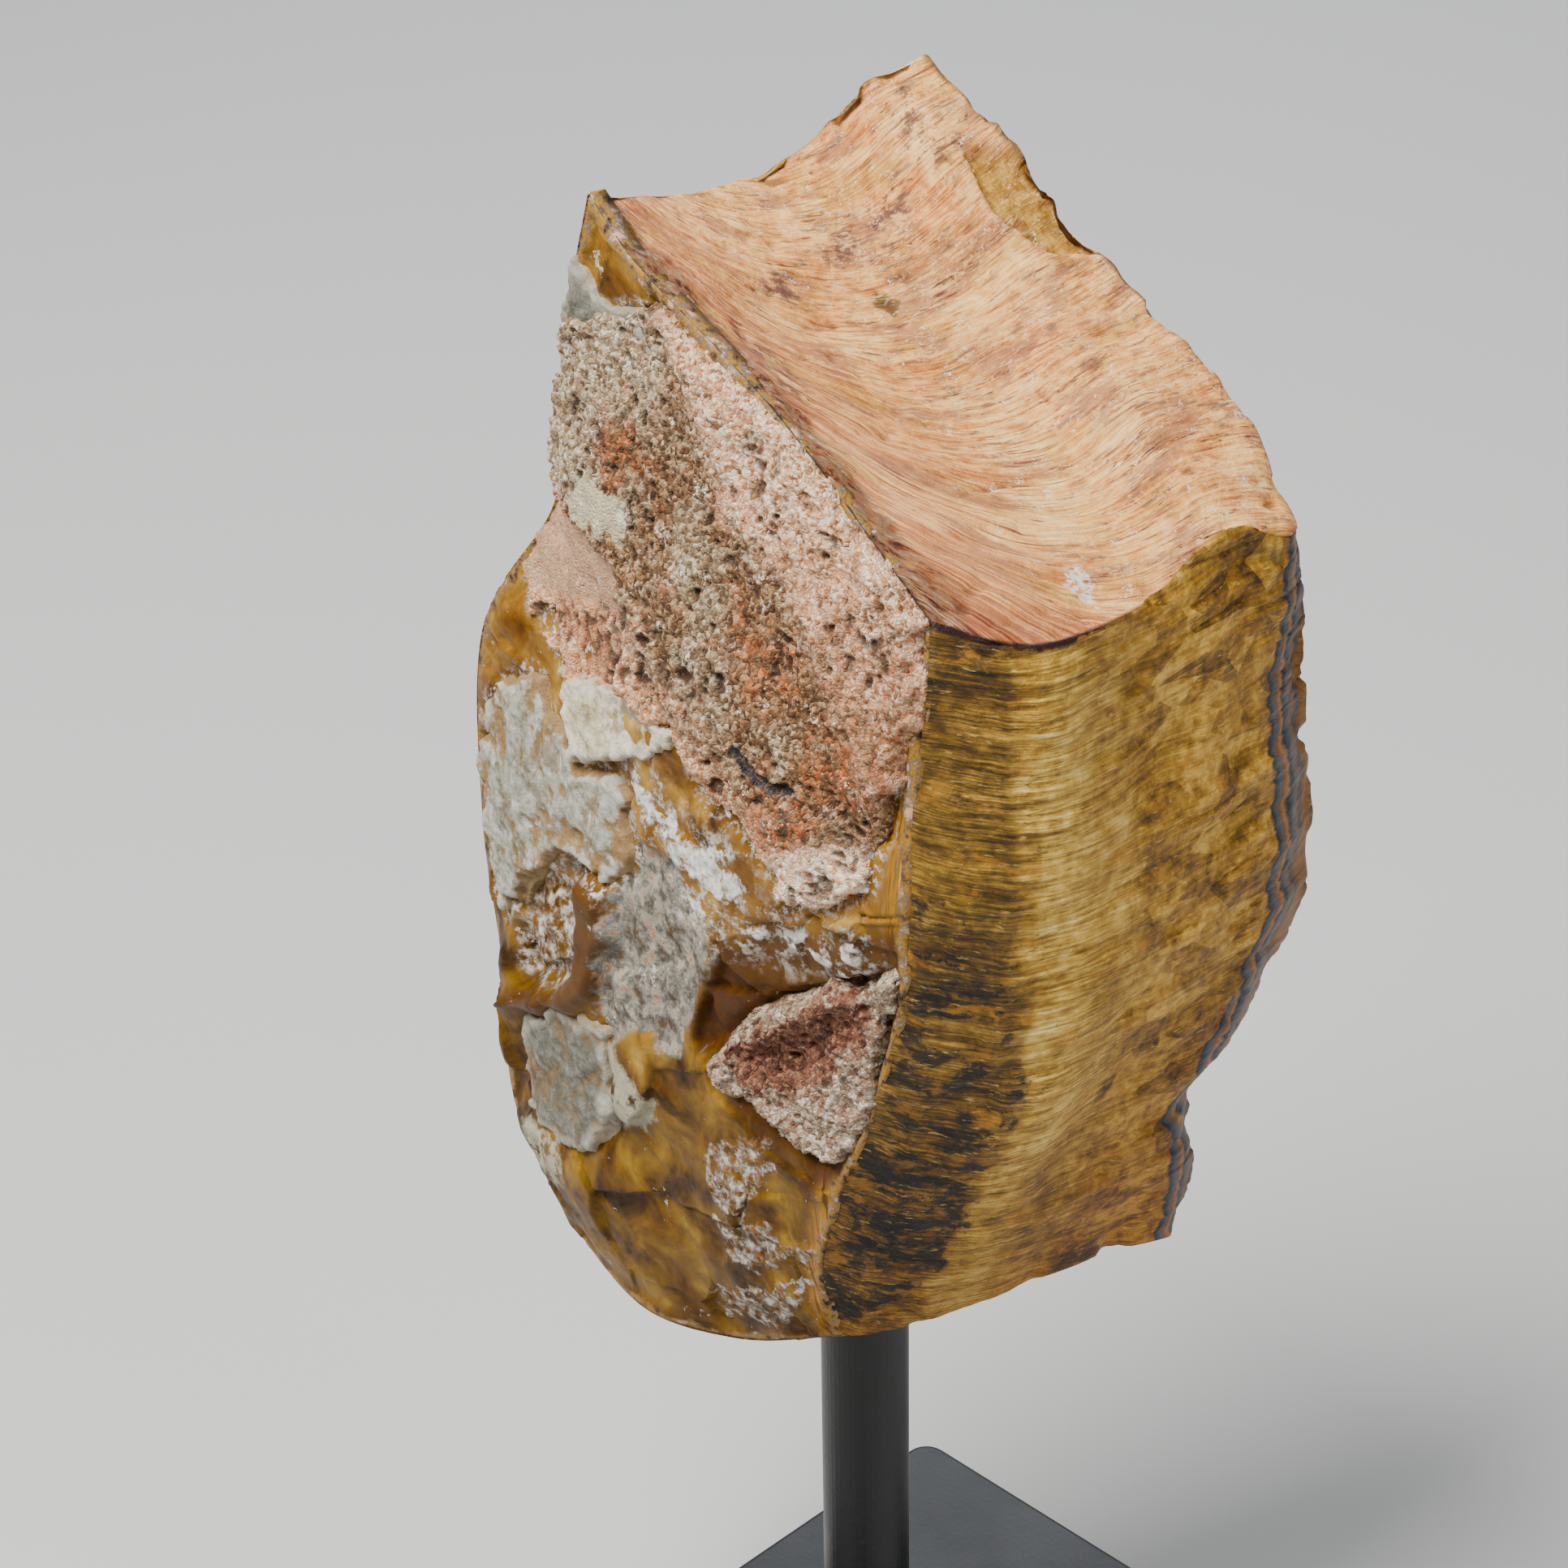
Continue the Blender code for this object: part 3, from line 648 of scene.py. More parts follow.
@dataclass
class GoldenBody:
    """The slab of silky fibres: golden front and back, tan top, banded right wall."""

    form: LumpForm = LumpForm()
    along_step: float = 0.7
    side_step: float = 0.3
    down_step: float = 0.3
    triangles: int = 196_000
    under_wall: float = 4.5
    bend_length: float = 9.0
    rim_slope: float = 2.6
    far_slope: float = 0.3
    # Where the left rim lies, and how far the fibres of the front climb
    left_rim: Outline = ((-24, -8.5), (-5, -11), (8, -14), (15.5, -15))
    fibre_rise: Outline = ((-16, 6.0), (-10, 2.6), (-4, 0.6), (2, 0), (10, -0.3), (20, -0.7), (34, -1.2))
    # The front's rim, and the lines down it where the pale band (painted sheen of the folded fibres) and the
    # edge bands run
    rim_line: Outline = ((-8.5, 144), (-2, 142), (11.5, 140.5), (21.5, 142.5), (28.5, 139.5), (31, 139))
    pale_line: Outline = (
        (74.5, -3), (82, -2.5), (96.5, -0.5), (109, 1), (120.5, 0.5), (131.5, -0.5), (141, 0),
    )
    band_line: Outline = (
        (74, 18), (82.5, 17.5), (90, 17), (98, 22), (107.5, 26), (116, 26.5), (124.5, 26), (133, 27.5),
        (139.5, 29),
    )
    navy: tuple[Outline, ...] = (
        (
            (-14, 124), (-9, 122), (-6, 117), (-4, 113.5), (-2.2, 110), (-1.8, 104), (-2, 96), (-5, 91),
            (-4.5, 86.5), (-6, 81), (-8, 76), (-14, 74), (-16, 90),
        ),
    )
    crack: Outline = ((0.5, -13.5), (5, -12.5), (8.5, -12.5))
    dark_tops: tuple[Outline, ...] = (
        ((19.5, 16), (17, 20.5), (14.5, 19), (16.5, 15.5)),
        ((12.5, 15.5), (9, 13.5), (9.5, 11), (13, 13)),
        ((7, 13.5), (4, 12), (4.5, 10), (7.5, 11.5)),
        ((0, 11), (-3.5, 9.5), (-3, 7.5), (0.5, 9)),
        ((-6, 0), (-8.5, 5), (-9.5, 0), (-7.5, -6)),
    )
    back_rim: float = 170
    back_bands: float = 3.5
    olive_chip: Outline = ((8.2, 6.6), (6.6, 8), (5.8, 7.2), (7.2, 5.6))
    white_speck: Outline = ((7.6, -21.2), (5.2, -20.6), (4.6, -23), (6.6, -24))

    def rim_at(self, v: Array) -> Array:
        """Where the left rim lies (u) for a place across the top (v)."""
        return read_line(self.left_rim, v)

    def top_fibres(self, points: Array) -> Array:
        """Finds where points lie along and across the top's bending fibres.

        Args:
            points: Points of the stone.

        Returns:
            Rows of distance along the fibres, across them, and depth.
        """
        u, v, z = points.T
        inward = u - self.rim_at(v)
        fading = np.exp(-inward / self.bend_length)
        across = v - (self.far_slope * inward + self.rim_slope * self.bend_length * fading)
        along = inward - 0.9 * v * fading
        sway = 0.4 * lumps(points, (12, 12, 12), 31) + 0.12 * lumps(points, (4, 4, 4), 32)
        return np.column_stack([along, across + sway, z])

    def side_fibres(self, points: Array) -> Array:
        """Finds where points lie along and across the fibres of the front and back.

        Args:
            points: Points of the stone.

        Returns:
            Rows of distance along the fibres, across them, and depth.
        """
        u, v, z = points.T
        rise = read_line(self.fibre_rise, u)
        sway = 0.5 * lumps(points, (12, 30, 16), 33) + 0.12 * lumps(points, (4, 30, 5), 34)
        return np.column_stack([u, z - rise + sway, v])

    def relief(self, skin: Skin) -> tuple[Array, Array]:
        """How far the fibres, ledges and chips stand out from the bare lump.

        Args:
            skin: The bare lump.

        Returns:
            Heights in millimetres, and the share of them that fibres, cracks and dents make.
        """
        points = skin.points
        top = skin.zones == Zone.TOP.value
        left = skin.zones == Zone.LEFT.value
        right = skin.zones == Zone.RIGHT.value
        side = self.side_fibres(points)
        over = self.top_fibres(points)
        broken = 0.3 * lumps(points, (12, 12, 2.8), 7) + 0.35 * lumps(points, 6, 8)
        splinter = lumps(side, (7.5, 1.4, 40), 41)
        cracks = smooth_step(0.88, 0.97, 1 - np.abs(lumps(side, (8, 1.6, 40), 44)))
        fine = (
            0.2 * terraces(splinter, 3, 0.8)
            + 0.07 * lumps(side, (5, 0.7, 40), 42)
            + 0.06 * lumps(side, (2.4, 0.42, 40), 43)
            - 0.25 * cracks * smooth_step(0.05, 0.4, lumps(side, (10, 6, 40), 45))
        )
        facet, past = facets(np.column_stack([side[:, 0] * 0.8, side[:, 1]]), 6.0, 46)
        scales = smooth_step(6, 18, points[:, 0])
        dent = smooth_step(0.25, 0.7, lumps(points, (4.5, 6, 3), 53)) * smooth_step(2, 10, points[:, 0])
        crumbly = smooth_step(0, -3, points[:, 0]) * (points[:, 1] < 0)
        dents = dent * (0.45 + 0.3 * lumps(side, (2, 1, 40), 55))
        broken += scales * 0.3 * facet * smooth_step(0, 0.5, past) - dents
        broken += crumbly * (0.2 * lumps(points, (1.6, 3, 2.2), 58) + 0.12 * lumps(points, (0.9, 3, 0.9), 59))
        chip = smooth_step(-0.5, 0.5, depth_inside(top_places(points), RIM_CHIP))
        crest = lumps(over, (9, 1.7, 60), 47)
        inward = points[:, 0] - self.rim_at(points[:, 1])
        swell = 0.35 * lumps(points, (11, 2.6, 5), 6) + 0.22 * lumps(points, (5, 5, 5), 56) - 1.3 * chip
        combed = (
            0.18 * terraces(crest, 2.5, 0.75)
            + 0.08 * lumps(over, (5, 0.65, 60), 48)
            + 0.06 * lumps(over, (2.2, 0.4, 60), 49)
            - 0.25 * smooth_step(0.5, 0.85, lumps(points, (1.4, 1.4, 1.4), 57))
            - 0.3 * smooth_step(0.4, 0.0, distance_to_path(points[:, :2], self.crack))
            - 0.2 * smooth_step(-0.2, 0.3, depth_inside(points[:, :2], self.olive_chip))
            + 0.3 * lumps(points, (1.1, 1.6, 3), 50) * smooth_step(5, 1.0, inward)
        )
        knobs, gap = facets(points[:, 1:], 5.5, 51)
        wall = broken + 0.6 * knobs * smooth_step(0, 0.8, gap) + 0.25 * lumps(points, (3, 1.6, 2.2), 52)
        sunk = 0.6 * (skin.into_left > 0) + (self.under_wall - 0.6) * smooth_step(0.3, 3.5, skin.into_left)
        height = np.where(top, swell + combed, np.where(left, -sunk, np.where(right, wall, broken + fine)))
        nicks = smooth_step(0.1, 0.6, lumps(points, (2.4, 2.4, 2.4), 54)) * smooth_step(1.8, 0, skin.from_rim)
        worn = 0.7 * nicks + 0.22 * smooth_step(0.8, 0, skin.from_rim)
        return height - np.where(left, 0, worn * smooth_step(0.5, 2.5, inward)), np.where(top, combed, fine)

    def marks(self, skin: Skin, raised: Array, fine: Array) -> dict[str, Array]:
        """Collects the numbers from which the finish paints the body.

        Args:
            skin: The bare lump.
            raised: Heights of the whole relief.
            fine: Heights of the fine relief.

        Returns:
            Numbers and vectors at each point, by name.
        """
        points = skin.points
        u, v, z = points.T
        sway = 0.7 * lumps(points, (5, 5, 3), 61) + 0.35 * lumps(points, (5, 5, 0.9), 62)
        zone = skin.zones[:, None] == np.array([Zone.TOP.value, Zone.RIGHT.value, Zone.UNDERSIDE.value])
        corner = tuple((height, place) for place, _, height in PEAK[::-1])
        band_start = np.where(v < 0, read_line(self.band_line, z), read_line(corner, z) - self.back_bands)
        return {
            "side_grain": self.side_fibres(points),
            "top_grain": self.top_fibres(points),
            "zone": zone.astype(float),
            "pale": u - read_line(self.pale_line, z) + sway,
            "navy": inside_any(np.column_stack([u + sway, z]), self.navy),
            "below_rim": np.where(v < 0, read_line(self.rim_line, u), self.back_rim) - z,
            "raised": raised,
            "from_left_rim": u - self.rim_at(v),
            "from_front": v + 26.0,
            "edge_bands": u - band_start + 0.3 * sway,
            "rim_chip": depth_inside(top_places(points), RIM_CHIP),
            "dark_top": inside_any(top_places(points), self.dark_tops),
            "olive_chip": depth_inside(points[:, :2], self.olive_chip),
            "white_speck": depth_inside(points[:, :2], self.white_speck),
            "crack": distance_to_path(points[:, :2], self.crack),
            "fine": fine,
        }

    def build(self, material: Material) -> Object:
        """Builds the body and lays its finish on.

        Args:
            material: The finish.

        Returns:
            The piece.
        """
        skin = self.form.skin(self.along_step, self.side_step, self.down_step)
        raised, fine = self.relief(skin)
        points = skin.points + skin.normals() * raised[:, None]
        mesh = make_mesh("golden_body", points, skin.quads, self.marks(skin, raised, fine))
        return add_piece(mesh, material, self.triangles)


@dataclass
class WallSheet:
    """A closed sheet of mineral that lies on the left wall."""

    form: LumpForm = LumpForm()
    name: str = "sheet"
    outlines: tuple[Outline, ...] = ()
    step: float = 0.2
    reach: float = 0.8
    thickness: float = 1.3
    triangles: int | None = None
    areas: ClassVar[dict[str, tuple[Outline, ...]]] = {}

    def spans(self) -> tuple[Array, Array]:
        """Finds what the sheet's grid takes in.

        Returns:
            Its places along the wall and its stations down it.
        """
        length = line_places(self.form.left_lines)[-1]
        per_station = self.form.height / STATIONS
        if not self.outlines:
            low, high, top, foot = 0.0, length, 0.0, float(STATIONS)
        else:
            places = np.linspace(0, length, 64)
            heights = np.linspace(0, STATIONS, 128)
            rough = loft(self.form.left_lines, places, heights)
            flat = rough.reshape(-1, 3)
            near = inside_any(wall_places(flat), self.outlines).reshape(rough.shape[:2]) > -self.reach - 1
            rows, columns = np.nonzero(near)
            low, high = places[rows.min()], places[rows.max()]
            top, foot = heights[columns.min()], heights[columns.max()]
        return (
            np.linspace(low, high, round((high - low) / self.step) + 1),
            np.linspace(top, foot, round((foot - top) * per_station / self.step) + 1),
        )

    def height(self, points: Array, inside: Array) -> Array:
        """How far the sheet's face stands out from the bare wall."""
        return smooth_step(-self.reach, self.reach, inside) - 0.5

    def roughness(self, face: Array, inside: Array) -> Array:
        """How far the fine grain stands out from the sheet's face."""
        return np.zeros(len(face))

    def marks(self, points: Array, inside: Array, raised: Array) -> dict[str, Array]:
        """The numbers from which the finish paints the sheet.

        Args:
            points: Points of the bare wall.
            inside: Distance inside the sheet's outline.
            raised: Heights of its face.

        Returns:
            Numbers at each point, by name.
        """
        place = wall_places(points)
        drawn = {name: inside_any(place, outlines) for name, outlines in self.areas.items()}
        return {"inside": inside, "raised": raised, **drawn}

    def spread(self, points: Array) -> Array:
        """Moves the sheet's points along the wall, as at its rim."""
        return points

    def facing(self, grid: Array) -> Array:
        """Unit directions out of a grid that faces left."""
        out = np.cross(np.gradient(grid, axis=1), np.gradient(grid, axis=0))
        out /= np.linalg.norm(out, axis=2, keepdims=True)
        return (out * -np.sign(out[..., :1].mean())).reshape(-1, 3)

    def covered(self, near: Array) -> Array:
        """Picks the grid cells that the sheet covers.

        Args:
            near: Which grid points the sheet reaches.

        Returns:
            Which cells it covers, with no two that meet only at a corner.
        """
        cells = near[:-1, :-1] & near[1:, :-1] & near[1:, 1:] & near[:-1, 1:]
        for _ in range(4):
            rising = cells[:-1, :-1] & cells[1:, 1:] & ~cells[1:, :-1] & ~cells[:-1, 1:]
            falling = ~cells[:-1, :-1] & ~cells[1:, 1:] & cells[1:, :-1] & cells[:-1, 1:]
            rows, columns = np.nonzero(rising | falling)
            for a, b in np.ndindex(2, 2):
                cells[rows + a, columns + b] = True
        return cells

    def closed_faces(self, cells: Array) -> Array:
        """Closes the covered cells into a solid with a face, an underside and a rim.

        Args:
            cells: Which cells of the grid the sheet covers.

        Returns:
            Four point numbers for each face. The underside's points follow the face's.
        """
        rows, columns = cells.shape[0] + 1, cells.shape[1] + 1
        size = rows * columns
        corners = cell_corners(np.arange(size).reshape(rows, columns))[cells]
        edges = np.concatenate([corners[:, [side, (side + 1) % 4]] for side in range(4)])
        border = edges[~np.isin(edges @ (size, 1), edges @ (1, size))]
        rim = np.column_stack([border[:, 1], border[:, 0], border[:, 0] + size, border[:, 1] + size])
        return np.concatenate([corners, corners[:, ::-1] + size, rim])

    def build(self, material: Material) -> Object:
        """Builds the sheet and lays its finish on.

        Args:
            material: The finish.

        Returns:
            The piece.
        """
        grid = loft(self.form.left_lines, *self.spans())
        flat = grid.reshape(-1, 3)
        if self.outlines:
            inside = inside_any(wall_places(flat), self.outlines)
            near = (inside > -self.reach).reshape(grid.shape[:2])
        else:
            inside = self.edge_distance(grid).ravel()
            near = np.ones(grid.shape[:2], bool)
        facing = self.facing(grid)
        spread = self.spread(grid).reshape(-1, 3)
        raised = self.height(flat, inside)
        face = spread + facing * raised[:, None]
        grain = self.roughness(face, inside)
        face += self.facing(face.reshape(grid.shape)) * grain[:, None]
        under = spread + facing * (np.minimum(raised, 0) - self.thickness)[:, None]
        quads = self.closed_faces(self.covered(near))
        used, renumbered = np.unique(quads, return_inverse=True)
        quads = renumbered.reshape(quads.shape)
        marks = self.marks(flat, inside, raised + grain)
        marks = {name: np.concatenate([values, values])[used] for name, values in marks.items()}
        points = marks["place"] = np.concatenate([face, under])[used]
        first = points[quads[0]]
        if np.cross(first[1] - first[0], first[3] - first[0])[0] > 0:
            quads = quads[:, ::-1]
        return add_piece(make_mesh(self.name, points, quads, marks), material, self.triangles)

    def edge_distance(self, grid: Array) -> Array:
        """Measures how far each point lies from the wall's nearest border.

        Args:
            grid: The wall's grid of points.

        Returns:
            Distances, one for each point.
        """
        rows, columns = grid.shape[:2]
        across = np.linalg.norm(np.diff(grid, axis=0), axis=2)
        down = np.linalg.norm(np.diff(grid, axis=1), axis=2)
        from_far = np.concatenate([np.zeros((1, columns)), np.cumsum(across, axis=0)])
        from_top = np.concatenate([np.zeros((rows, 1)), np.cumsum(down, axis=1)], axis=1)
        to_near = from_far[-1:] - from_far
        to_foot = from_top[:, -1:] - from_top
        return np.minimum(np.minimum(from_far, to_near), np.minimum(from_top, to_foot))


@dataclass
class JasperWall(WallSheet):
    """The hard brown-gold rind of the left wall, with its facets, hollows and thin skins."""

    name: str = "jasper_wall"
    step: float = 0.26
    thickness: float = 1.5
    triangles: int | None = 196_000
    stand_proud: float = 0.05
    # The lines of the near edge and its strip of laminae down the wall, and of the crust's crest along it
    near_line: Outline = (
        (72, 14.5), (81, 16.5), (90, 19.5), (99, 22.5), (110, 25), (120, 26), (129, 25.5), (144, 24),
    )
    strip_line: Outline = ((70, 14.5), (90, 19.5), (120, 26), (144, 24))
    crest_line: Outline = ((-24, 143), (-18, 147), (-5, 154.5), (6, 159.5), (17, 155))
    # Each chipped block's lift, slope and middle
    block_faces: tuple[Point, ...] = ((0.35, 0.1, -10.5), (0.75, -0.09, -17.5), (0.4, 0.16, -24))
    window: Outline = (
        (15.5, 164.5), (11.5, 163), (8, 161), (5.5, 159.5), (9.5, 158.5), (13.5, 159), (16.5, 160),
    )
    column: tuple[Outline, ...] = (
        ((-5.5, 89.5), (-12.5, 94), (-13, 91), (-9, 85.5), (-9.5, 82.5), (-7, 82.5), (-5.5, 86)),
        ((-5.5, 82.5), (-12.5, 85.5), (-12.5, 83), (-16.5, 84), (-11, 79.5), (-5, 77)),
        ((-2, 72), (-14, 79.5), (-13, 76.5), (-7.5, 70), (-1, 67.5)),
    )
    light_facet: Outline = (
        (-22, 124.5), (-22.5, 125.5), (-25.5, 127), (-27, 125), (-27, 121), (-21.5, 119), (-22, 121),
    )
    dabs: tuple[Outline, ...] = (
        (
            (3.5, 121), (0, 122), (-0.5, 120.5), (-3, 120.5), (-4.5, 119), (-8.5, 119.5), (-10.5, 118),
            (-10.5, 116.5), (-8.5, 115), (-5.5, 116), (-3, 116.5), (-2.5, 118.5), (2, 119),
        ),
        ((-3.5, 114), (-6.5, 114.5), (-8, 112.5), (-6.5, 111.5), (-4.5, 112)),
        ((-11, 113.5), (-12.5, 114), (-12.5, 112.5), (-11, 112.5)),
        ((-14.5, 115), (-16.8, 115.8), (-16, 113.2), (-14.5, 112.5)),
        ((-16.5, 114), (-19, 114.5), (-18.5, 112.5), (-17, 113)),
        ((-19.5, 116), (-21, 116.5), (-21, 114.5), (-20, 114.5)),
        ((-19.5, 112.7), (-20.7, 113.2), (-20, 112), (-19.5, 112)),
    )
    areas: ClassVar[dict[str, tuple[Outline, ...]]] = {
        "grown": (BIG_CRUST, CHALK_SHEET),
        "oval": (OVAL_HOLLOW,),
        "fin": (FIN,),
        "milky": (MILKY_FACET,),
        "thin_chalk": THIN_CHALK,
        "column": column,
        "window": (window,),
        "crevice": (CREVICE,),
        "recess": (CHIPPED_RECESS,),
    }

    def height(self, points: Array, inside: Array) -> Array:
        """How far the rind's face stands out from the bare wall.

        Args:
            points: Points of the bare wall.
            inside: Distance from the wall's border.

        Returns:
            Heights in millimetres.
        """
        place = wall_places(points)
        plain = points[:, 1:]
        grown = inside_any(place, (BIG_CRUST, CHALK_SHEET, LOW_CHALK, SMALL_CRUST))
        covered = smooth_step(-0.4, 0.8, grown)
        wide, wide_gap = facets(plain + 0.8 * wander(points, 4, 71), 9.0, 73)
        oval = smooth_step(-1.2, 1.2, depth_inside(place, OVAL_HOLLOW))
        milky = smooth_step(-0.8, 0.8, depth_inside(place, MILKY_FACET))
        column = smooth_step(-0.5, 0.5, inside_any(place, self.column))
        dabs = smooth_step(-0.3, 0.3, self.dab_depth(points, place))
        recess = depth_inside(place, CHIPPED_RECESS)
        blocks = sum(
            smooth_step(0, 0.2, depth_inside(plain, block))
            * (lift + slope * np.clip(points[:, 1] - middle, -4, 4))
            for block, (lift, slope, middle) in zip(CHIP_BLOCKS, self.block_faces)
        )
        far = smooth_step(12, 18, points[:, 1])
        seams = np.abs(lumps(points, (60, 2.4, 26), 86))
        near_strip = smooth_step(6, 3, points[:, 1] + read_line(self.strip_line, points[:, 2]))
        height = (
            0.5 * (1 - covered) * lumps(points, (7, 7, 5), 5)
            + far * (0.9 * lumps(points, (5, 5, 4.2), 88) + 0.4 * lumps(points, 2.1, 89))
            - 1.5 * oval
            + 1.3 * smooth_step(-0.9, 0.9, depth_inside(place, FIN))
            - 0.6 * milky
            - 0.35 * smooth_step(-0.1, 0.1, recess)
            - 1.3 * smooth_step(0, 6.5, recess)
            - 1.1 * smooth_step(-0.3, 0.5, depth_inside(place, CREVICE))
            + blocks
            + 0.5 * smooth_step(-0.1, 0.3, depth_inside(plain, self.light_facet))
            - 0.35 * smooth_step(-1.6, -0.3, grown)
            + (1 - covered) * 0.8 * wide * smooth_step(0, 0.5, wide_gap)
            + oval * (0.3 * lumps(points, 1.8, 77) + 0.15 * lumps(points, 0.9, 78))
            + milky * (0.25 * lumps(points, (2, 1.3, 2.6), 79) + 0.12 * lumps(points, 0.9, 80))
            + column * (0.15 + 0.25 * lumps(points, (1.6, 1.6, 1.1), 81) + 0.12 * lumps(points, 0.8, 82))
            + dabs * (0.16 + 0.14 * lumps(points, 0.8, 83))
            + (1 - covered) * (0.07 * lumps(points, 1.3, 84) + 0.04 * lumps(points, 0.6, 85))
            - 0.35 * near_strip * smooth_step(0.12, 0.02, seams) * (1 - covered)
        )
        height = height * smooth_step(0, 2.0, inside) - covered * 0.4
        lip = np.clip(1 - inside / 0.6, 0, 1)
        return height + 0.15 - 0.4 * lip**2

    def dab_depth(self, points: Array, place: Array) -> Array:
        """Distance inside the ragged white dabs, negative outside them."""
        ragged = 0.7 * lumps(points, 1.5, 76) + 0.6 * lumps(points, 0.7, 90)
        return inside_any(place, self.dabs) + ragged - 0.1

    def spread(self, points: Array) -> Array:
        """Lets the rind's border stand a little proud of the fibres beside it.

        Args:
            points: The wall's grid of points.

        Returns:
            The grid with its border moved outward along the wall.
        """
        moved = points.copy()
        proud = self.stand_proud + 0.2 * lumps(points.reshape(-1, 3), 2.5, 87).reshape(points.shape[:2])
        for axis, (rows, toward) in product((0, 1), ((slice(0, 3), 3), (slice(-3, None), -4))):
            still, border = points.swapaxes(0, axis), moved.swapaxes(0, axis)
            outward = still[rows] - still[toward]
            length = np.linalg.norm(outward, axis=2, keepdims=True)
            away = proud.swapaxes(0, axis)[rows][..., None]
            border[rows] += outward / length * away * (length / length.max())
        return moved

    def marks(self, points: Array, inside: Array, raised: Array) -> dict[str, Array]:
        """The numbers from which the finish paints the rind.

        Args:
            points: Points of the bare wall.
            inside: Distance from the wall's border.
            raised: Heights of the relief.

        Returns:
            Numbers at each point, by name.
        """
        return {
            **super().marks(points, inside, raised),
            "near_edge": points[:, 1] + read_line(self.near_line, points[:, 2]),
            "dabs": self.dab_depth(points, wall_places(points)),
            "above_crust": points[:, 2] - read_line(self.crest_line, points[:, 1]),
        }


def crumbs(points: Array, size: float, seed: int) -> Array:
    """Rounded crumbs with sharp gaps between them, from -1 to 1."""
    return 1 - 4 * np.abs(lumps(points, size, seed))


